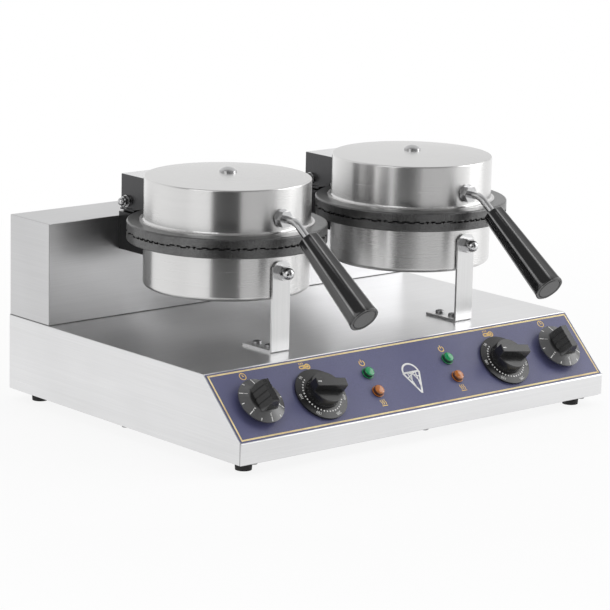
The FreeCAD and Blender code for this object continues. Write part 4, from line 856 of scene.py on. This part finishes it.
class ConeMakerHandles(Operator):
    """Finishes the rods and nuts of the lids and shapes their ridged grips"""

    bl_idname = "cone_maker.handles"
    bl_label = "Handles"

    def execute(self, context):
        look = finish()
        rod = polished_steel("Drawn rod", look.bright, rough=0.2)
        paint(rod, *both_sides("handle_rod"), *both_sides("handle_nuts"))
        gloss = ridged_gloss("Grip gloss", look.grip, look.worn)
        for side in SIDES:
            node, name = side + "_handle_grip", side + "_ridged_grip"
            paint(gloss, node)
            piece = new_piece(name, self.grip(name, node), gloss, side + "_lid")
            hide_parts(node)
        return {"FINISHED"}

    def axis_of(self, mesh, points):
        """The direction from rod to end cap, from the slope of a grip's points and its cap's faces."""
        middle = sum(points, Vector()) / len(points)
        spread = [p - middle for p in points]
        yy = sum(p.y * p.y for p in spread)
        zz = sum(p.z * p.z for p in spread)
        yz = sum(p.y * p.z for p in spread)
        slope = math.atan2(2 * yz, yy - zz) / 2
        guess = Vector((0, math.cos(slope), math.sin(slope)))
        if guess.y > 0:
            guess = -guess
        on_cap = 0.995
        cap = sum((p.normal * p.area for p in mesh.polygons if p.normal.dot(guess) > on_cap), Vector())
        return cap.normalized()

    def measured(self, node):
        """A plain grip's direction, its rod end's middle, and the sizes that its outline needs."""
        mesh = nodes[node].data
        points = [v.co for v in mesh.vertices]
        along = self.axis_of(mesh, points)
        reach = [p.dot(along) for p in points]
        first, last = min(reach), max(reach)
        length = last - first
        on_end, on_bore = 0.01 * MM, 0.1 * MM
        cap = [p for p, r in zip(points, reach) if last - r < on_end]
        spans = [(min(p[i] for p in cap), max(p[i] for p in cap)) for i in range(3)]
        end = Vector((low + high) / 2 for low, high in spans)
        radii = [(p - end - along * (p - end).dot(along)).length for p in points]
        depths = [r - first for r in reach]
        at_rod = [radius for radius, depth in zip(radii, depths) if depth < 2 * printing().grip_edge]
        slim, bore = max(at_rod), min(at_rod)
        inside = 0.9 * length
        floor = max(d for radius, d in zip(radii, depths) if radius < bore + on_bore and d < inside)
        return along, end - along * length, (length, slim, max(radii), bore, floor)

    def outline(self, length, slim, wide, bore, floor):
        """Rings from the bore's floor to the end plug: place along it, radius and share of the ridges."""
        size = printing()
        edge, groove = size.grip_edge, size.grip_groove
        rod_ridge, cap_ridge = 0.6, 0.25
        run_out = 5 * edge
        taper = (wide - slim) / length
        plug = wide - 3 * edge
        rings = [(floor, bore, 0.0), (0.0, bore, 0.0), (0.0, slim - edge, rod_ridge)]
        rounded = self.rounded()
        rings += [(edge * down, slim - edge * inset, rod_ridge) for down, inset in rounded]
        rings += [(run_out, slim + taper * run_out, 1.0), (length - run_out, wide - taper * run_out, 1.0)]
        rings += [(length - edge * down, wide - edge * inset, cap_ridge) for down, inset in rounded[::-1]]
        rings += [(length, plug + groove, 0.0), (length - groove, plug + 0.7 * groove, 0.0)]
        rings += [(length - groove, plug, 0.0), (length - 0.3 * groove, plug - 0.3 * groove, 0.0)]
        return rings + [(length, plug - 0.8 * groove, 0.0), (length, 0.2 * plug, 0.0)]

    def rounded(self):
        """An edge from the end face to the side, as shares of its radius down the side and in from it."""
        steps = 4
        bends = [QUARTER_TURN * i / steps for i in range(1, steps + 1)]
        return [(1 - math.cos(a), 1 - math.sin(a)) for a in bends]

    def grip(self, name, node):
        """A tapered grip with ridged flats, rounded ends, the rod's bore and a grooved end cap."""
        size = printing()
        along, origin, sizes = self.measured(node)
        across = Vector((1, 0, 0))
        over = along.cross(across)
        steps_on_flat, hollow, ridge_sheen_sharpness = 14, 3, 40
        build = bmesh.new()
        ridge = build.verts.layers.float.new("ridge")
        rings = []
        for reach, radius, ridged in self.outline(*sizes):
            ring = []
            for turn in turns(steps_on_flat * size.grip_flats):
                from_flat = abs(math.sin(turn * size.grip_flats / 2))
                r = radius - ridged * size.grip_ridge * (1 - from_flat ** hollow)
                spoke = across * math.cos(turn) + over * math.sin(turn)
                vert = build.verts.new(origin + along * reach + spoke * r)
                # painted highlight share, narrow along each ridge
                vert[ridge] = ridged * from_flat ** ridge_sheen_sharpness
                ring.append(vert)
            rings.append(ring)
        stitch(build, rings)
        build.faces.new(rings[0])
        build.faces.new(rings[-1])
        bmesh.ops.recalc_face_normals(build, faces=build.faces)
        flat_end = 0.99
        for face in build.faces:
            face.smooth = abs(face.normal.dot(along)) < flat_end
        return finished(build, name)


class ConeMakerInnerParts(Operator):
    """Finishes the heaters, pads, terminals and control bodies inside"""

    bl_idname = "cone_maker.inner_parts"
    bl_label = "Inner parts"

    def execute(self, context):
        look = finish()
        sheath = polished_steel("Heater sheath", look.sheath, rough=0.45)
        paint(sheath, "lower_heaters", *both_sides("upper_heater"))
        paint(fibre_pad("Mineral wool", look.wool), "lower_insulation", *both_sides("upper_insulation"))
        paint(moulded("Terminal glaze", look.glaze, rough=0.25), "terminal_block")
        paint(moulded("Control bodies", look.control, rough=0.5), "timer_bodies", "thermostat_bodies",
              "lamp_barrels", "lamp_clips")
        shaft = polished_steel("Control shafts", look.plain, rough=0.25)
        paint(shaft, *both_sides("timer_shaft"), *both_sides("temperature_shaft"))
        return {"FINISHED"}


class ConeMakerPanelPrint(Operator):
    """Prints the overlay with its gold border, control icons and a plain cone pictogram"""

    bl_idname = "cone_maker.panel_print"
    bl_label = "Panel print"

    def execute(self, context):
        look, size = finish(), printing()
        film = moulded("Overlay film", look.overlay, rough=0.42, pebble=0.1, grain=1500.0, mottle="Pebble",
                       Coat_Weight=0.15, Coat_Roughness=0.3)
        paint(film, "control_overlay")
        gold = printed("Gold ink", look.gold, rough=0.45)
        pale_gold = printed("Border ink", look.border, rough=0.45)
        chalk = printed("Panel white ink", look.chalk)
        middle = Vector((0, (panel_low + panel_high) / 2))
        cone = stamped(cone_icon(), middle, size.pictogram)
        print_piece("gold_border", self.border(size), on_overlay, pale_gold, "base")
        print_piece("control_icons", self.icons(size), on_overlay, gold, "base")
        print_piece("cone_pictogram", cone, on_overlay, chalk, "base")
        return {"FINISHED"}

    def border(self, size):
        """A line round the panel, each side starting half its width early to fill its corner."""
        inset, width = size.border_inset, size.border_width
        low, high, half = panel_low + inset, panel_high - inset, panel_half - inset
        corners = [Vector(c) for c in ((-half, low), (half, low), (half, high), (-half, high))]
        sides = zip(corners, corners[1:] + corners[:1])
        return [strip(a - (b - a).normalized() * width / 2, b, width) for a, b in sides]

    def icons(self, size):
        """A clock and a thermometer over the knobs, and an icon beyond each lamp."""
        rise = Vector((0, size.icon_rise))
        dial_rise = Vector((0, size.thermometer_rise))
        lamp_rise = Vector((0, size.lamp_icon_rise))
        marks = []
        for side in SIDES:
            dial = knob_place(side + "_temperature_turn") + dial_rise
            marks += stamped(clock_icon(), knob_place(side + "_timer_turn") + rise, size.icon)
            marks += stamped(thermometer_icon(), dial, size.thermometer, QUARTER_TURN)
            marks += stamped(power_icon(), lamp_place("power_lamp_lenses", side) + lamp_rise, size.icon)
            marks += stamped(heat_icon(), lamp_place("heating_lamp_lenses", side) - lamp_rise, size.icon)
        return marks


class ConeMakerTimerKnobs(Operator):
    """Finishes the timer knobs and prints their skirts with ticks and minutes"""

    bl_idname = "cone_maker.timer_knobs"
    bl_label = "Timer knobs"

    def execute(self, context):
        look = finish()
        chalk = printed("Timer white ink", look.chalk)
        for side in SIDES:
            node, joint = side + "_timer_knob", side + "_timer_turn"
            paint(skirted(side.title() + " timer satin", look.knob, look.skirt, joint), node)
            marks = self.marks(knob_rim(node), math.radians(joints[joint]["range_deg"][1]))
            body = side + "_timer_dial"
            print_piece(side + "_timer_marks", marks, on_knob(node, joint), chalk, body)
        return {"FINISHED"}

    def marks(self, rim, sweep):
        """A long tick at zero, then a numbered tick for each minute and a short one between."""
        size = printing()
        zero_tick, minute_tick, half_tick, number_ring = 0.62 * rim, 0.82 * rim, 0.88 * rim, 0.72 * rim
        marks = []
        for i in range(size.timer_steps + 1):
            turn = QUARTER_TURN + sweep * i / size.timer_steps
            numbered = i % 2 == 0
            inner = zero_tick if i == 0 else minute_tick if numbered else half_tick
            marks.append(strip(ray(turn) * inner, ray(turn) * (rim - size.timer_edge), size.timer_tick))
            if numbered and i:
                marks += digits(str(i // 2), size.timer_digit, ray(turn) * number_ring, turn - QUARTER_TURN)
        return marks


class ConeMakerTemperatureKnobs(Operator):
    """Finishes the temperature knobs and prints their dials with dots and degrees"""

    bl_idname = "cone_maker.temperature_knobs"
    bl_label = "Temperature knobs"

    def execute(self, context):
        look = finish()
        satin = moulded("Dial satin", look.knob, rough=0.24, pebble=0.1, grain=1700.0, IOR=1.6)
        paint(satin, *both_sides("temperature_knob"))
        chalk = printed("Dial white ink", look.chalk)
        for side in SIDES:
            node, joint = side + "_temperature_knob", side + "_temperature_turn"
            marks = self.marks(knob_rim(node), math.radians(joints[joint]["range_deg"][1]))
            body = side + "_temperature_dial"
            print_piece(side + "_dial_marks", marks, on_knob(node, joint), chalk, body)
        return {"FINISHED"}

    def marks(self, rim, sweep):
        """A ring of dots, the degrees outside it and a pointer inside it."""
        size = printing()
        start, pointer, dot_sides = math.radians(125), math.radians(170), 12
        dot_ring, number_ring, pointer_start, pointer_end = 0.74 * rim, 0.885 * rim, 0.42 * rim, 0.57 * rim
        marks = []
        for i in range(size.dial_steps + 1):
            turn = start + sweep * i / size.dial_steps
            marks.append(disc(ray(turn) * dot_ring, size.dial_dot, dot_sides))
        degrees = range(50, 301, 50)
        for i, label in enumerate(degrees):
            turn = start + sweep * i / (len(degrees) - 1)
            marks += digits(str(label), size.dial_digit, ray(turn) * number_ring, turn - QUARTER_TURN)
        marks.append(strip(ray(pointer) * pointer_start, ray(pointer) * pointer_end, size.dial_pointer))
        return marks


class ConeMakerLamps(Operator):
    """Shapes the stepped lenses of the lamps"""

    bl_idname = "cone_maker.lamps"
    bl_label = "Lamps"

    def execute(self, context):
        look = finish()
        green = tinted_lens("Green lens", look.green, glow=0.1)
        amber = tinted_lens("Amber lens", look.amber, glow=0.15)
        self.lenses("power_lamp_lenses", "stepped_green_lenses", green, "lens_green")
        self.lenses("heating_lamp_lenses", "stepped_amber_lenses", amber, "lens_amber")
        return {"FINISHED"}

    def lenses(self, node, name, material, slot):
        """One lens for each side, in place of the plain ones."""
        build = bmesh.new()
        for side in SIDES:
            self.lens(build, node, lamp_place(node, side))
        piece = new_piece(name, finished(build, name), material, "base")
        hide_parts(node)

    def lens(self, build, node, place):
        """A flange, a groove and a raised button, as shares of the plain lens's radius and height."""
        points = [v.co for v in nodes[node].data.vertices]
        top = max(p.dot(panel_out) for p in points) - panel_face
        xs = [p.x for p in points if p.x > 0]
        radius = (max(xs) - min(xs)) / 2
        flange = [(1.0, 0.0), (1.0, 0.15), (0.97, 0.21), (0.89, 0.22)]
        groove = [(0.87, 0.12), (0.85, 0.22)]
        button = [(0.85, 0.66), (0.82, 0.79), (0.75, 0.9), (0.65, 0.96), (0.5, 0.985), (0.25, 1.0)]
        rings = []
        for share, rise in flange + groove + button:
            circle = disc(place, radius * share, printing().lens_sides)
            rings.append([build.verts.new(on_overlay(spot, top * rise)) for spot in circle])
        for face in stitch(build, rings):
            face.smooth = True
        build.faces.new(rings[-1]).smooth = True
        build.faces.new(rings[0][::-1])


class ConeMakerStudio(Operator):
    """Sets the pale floor, the soft studio light and the camera"""

    bl_idname = "cone_maker.studio"
    bl_label = "Studio"

    def execute(self, context):
        stage = context.scene.cone_stage
        context.scene.view_settings.view_transform = "Standard"
        self.floor(stage)
        spread = stage.flag_spread
        self.flag(stage, "dark_flag", -spread, spread, weave=1.0)
        self.flag(stage, "grey_scrim", spread, stage.scrim_spread, stage.scrim_weave)
        self.surround(context, stage)
        self.softbox("Left softbox", stage.key, place=(-2.4, -0.6, 1.5), size=(1.6, 2.2))
        self.softbox("Right softbox", stage.fill, place=(2.2, -1.4, 1.4), size=(1.9, 2.2))
        self.softbox("Side softbox", stage.side, place=(2.2, -1.05, 0.5), size=(1.3, 1.0))
        overhead = self.softbox("Top softbox", stage.top, place=(0.1, 0.1, 2.6), size=(2.6, 2.0))
        overhead.visible_glossy = False
        self.camera(context, stage)
        return {"FINISHED"}

    def floor(self, stage):
        """A wide floor that is white to the camera and keeps the object's shadow."""
        reach = 14.0
        corners = [(-reach, -reach, 0), (reach, -reach, 0), (reach, reach, 0), (-reach, reach, 0)]
        mesh = bpy.data.meshes.new("floor")
        mesh.from_pydata(corners, [], [(0, 1, 2, 3)])
        floor = placed("floor", mesh)
        material, tree, shader, place = new_material("Studio floor", Roughness=0.9)
        cloud = noise(tree, place, scale=2.0)
        wire(tree, mottled(tree, cloud, stage.floor, dark=0.985, light=1.0), shader.inputs["Base Color"])
        glow = add(tree, "ShaderNodeEmission", {"Color": WHITE, "Strength": 1.0}).outputs[0]
        near, far, near_white = 0.5, 1.1, 0.86
        distance = vector_maths(tree, "LENGTH", place, output="Value")
        whiteness = remap(tree, distance, near, far, near_white, 1.0)
        share = maths(tree, "MULTIPLY", self.seen_directly(tree), whiteness)
        mixed = add(tree, "ShaderNodeMixShader", {0: share, 1: shader.outputs[0], 2: glow})
        wire(tree, mixed.outputs[0], tree.nodes["Material Output"].inputs["Surface"])
        mesh.materials.append(material)

    def seen_directly(self, tree):
        """One for the camera and for what metal and lenses mirror, and nothing for soft light."""
        path = add(tree, "ShaderNodeLightPath").outputs
        mirrored = maths(tree, "ADD", path["Is Glossy Ray"], path["Is Transmission Ray"])
        return maths(tree, "MINIMUM", maths(tree, "ADD", path["Is Camera Ray"], mirrored), 1.0)

    def flag(self, stage, name, first, last, weave):
        """A dark card on the floor and up the front of the room, seen only as a band in the steel."""
        over_floor = middle_of("left_lower_drum") + Vector((0, 0, MM))
        edges = []
        for turn in (stage.azimuth + first, stage.azimuth + last):
            outward = Vector((math.sin(turn), -math.cos(turn), 0))
            near, far = over_floor + outward * stage.flag_start, over_floor + outward * stage.flag_reach
            edges.append((near, far, far + Vector((0, 0, stage.flag_height))))
        mesh = bpy.data.meshes.new(name)
        mesh.from_pydata(edges[0] + edges[1], [], [(0, 1, 4, 3), (1, 2, 5, 4)])
        flag = placed(name, mesh)
        material, tree, shader, place = new_material(name, Roughness=1.0, Alpha=weave)
        dark, light = (0.012, 0.012, 0.012, 1), (0.03, 0.03, 0.03, 1)
        cloth = blend(tree, noise(tree, place, scale=400.0), dark, light)
        wire(tree, cloth, shader.inputs["Base Color"])
        mesh.materials.append(material)
        flag.visible_camera = False
        flag.visible_diffuse = False
        flag.visible_shadow = False

    def surround(self, context, stage):
        """A soft room, white to the camera, bright behind the machine and darker where the camera stands."""
        world = bpy.data.worlds.new("Studio room")
        world.use_nodes = True
        tree = world.node_tree
        direction = add(tree, "ShaderNodeTexCoord").outputs["Generated"]
        level = vector_maths(tree, "NORMALIZE", vector_maths(tree, "MULTIPLY", direction, (1, 1, 0)))
        toward = (math.sin(stage.azimuth), -math.cos(stage.azimuth), 0)
        facing = vector_maths(tree, "DOT_PRODUCT", level, toward, output="Value")
        bright_wall, dim_wall = -0.1, 0.85
        walls = remap(tree, facing, bright_wall, dim_wall, stage.backdrop, stage.shade)
        lean = vector_maths(tree, "DOT_PRODUCT", direction, toward, output="Value")
        bright_ceiling, dim_ceiling = -0.3, 0.15
        ceiling = remap(tree, lean, bright_ceiling, dim_ceiling, stage.ceiling, stage.ceiling_shade)
        wall_top, ceiling_edge = 0.45, 0.75
        overhead = remap(tree, part_of(tree, direction, "Z"), wall_top, ceiling_edge, 0.0, 1.0)
        room = blend(tree, overhead, walls, ceiling, "FLOAT")
        path = add(tree, "ShaderNodeLightPath").outputs
        seen = blend(tree, path["Is Camera Ray"], room, 1.0, "FLOAT")
        background = tree.nodes["Background"].inputs
        background["Color"].default_value = WHITE
        wire(tree, seen, background["Strength"])
        context.scene.world = world

    def softbox(self, name, power, place, size):
        """A flat lamp that looks at the irons."""
        lamp = bpy.data.lights.new(name, "AREA")
        lamp.shape = "RECTANGLE"
        lamp.size, lamp.size_y = size
        lamp.energy = power
        box = placed(name, lamp)
        box.location = place
        irons = Vector((0, 0, 0.12))
        box.rotation_euler = (irons - Vector(place)).to_track_quat("-Z", "Y").to_euler()
        return box

    def camera(self, context, stage):
        """The photograph's view: turned to the front left, a little above, with a slight roll."""
        a, e, r = stage.azimuth, stage.elevation, stage.roll
        back = Vector((math.sin(a) * math.cos(e), -math.cos(a) * math.cos(e), math.sin(e)))
        right = Vector((math.cos(a), math.sin(a), 0))
        up = back.cross(right)
        rolled_right = right * math.cos(r) + up * math.sin(r)
        rolled_up = up * math.cos(r) - right * math.sin(r)
        lens = bpy.data.cameras.new("Photo camera")
        lens.lens = stage.lens
        lens.clip_end = 50
        camera = placed("Photo camera", lens)
        turn = Matrix((rolled_right, rolled_up, back)).transposed().to_4x4()
        camera.matrix_world = Matrix.Translation(Vector(stage.target) + back * stage.distance) @ turn
        context.scene.camera = camera


class ConeMakerPanel(Panel):
    """The machine's pieces in the sidebar"""

    bl_idname = "VIEW3D_PT_cone_maker"
    bl_label = "Cone Maker"
    bl_space_type = "VIEW_3D"
    bl_region_type = "UI"
    bl_category = "Cone Maker"

    def draw(self, context):
        for operator in OPERATORS:
            self.layout.operator(operator.bl_idname)
        for group in (context.scene.cone_finish, context.scene.cone_print, context.scene.cone_stage):
            column = self.layout.column()
            for name in group.bl_rna.properties.keys():
                if name not in ("rna_type", "name"):
                    column.prop(group, name)


OPERATORS = (
    ConeMakerCabinet,
    ConeMakerIrons,
    ConeMakerHandles,
    ConeMakerInnerParts,
    ConeMakerPanelPrint,
    ConeMakerTimerKnobs,
    ConeMakerTemperatureKnobs,
    ConeMakerLamps,
    ConeMakerStudio,
)
CLASSES = (ConeMakerFinish, ConeMakerPrint, ConeMakerStage, *OPERATORS, ConeMakerPanel)


def register():
    for item in CLASSES:
        bpy.utils.register_class(item)
    bpy.types.Scene.cone_finish = PointerProperty(type=ConeMakerFinish)
    bpy.types.Scene.cone_print = PointerProperty(type=ConeMakerPrint)
    bpy.types.Scene.cone_stage = PointerProperty(type=ConeMakerStage)


def unregister():
    del bpy.types.Scene.cone_stage
    del bpy.types.Scene.cone_print
    del bpy.types.Scene.cone_finish
    for item in reversed(CLASSES):
        bpy.utils.unregister_class(item)


def main():
    register()
    bpy.ops.cone_maker.cabinet()
    bpy.ops.cone_maker.irons()
    bpy.ops.cone_maker.handles()
    bpy.ops.cone_maker.inner_parts()
    bpy.ops.cone_maker.panel_print()
    bpy.ops.cone_maker.timer_knobs()
    bpy.ops.cone_maker.temperature_knobs()
    bpy.ops.cone_maker.lamps()
    bpy.ops.cone_maker.studio()


if __name__ == "__main__":
    main()
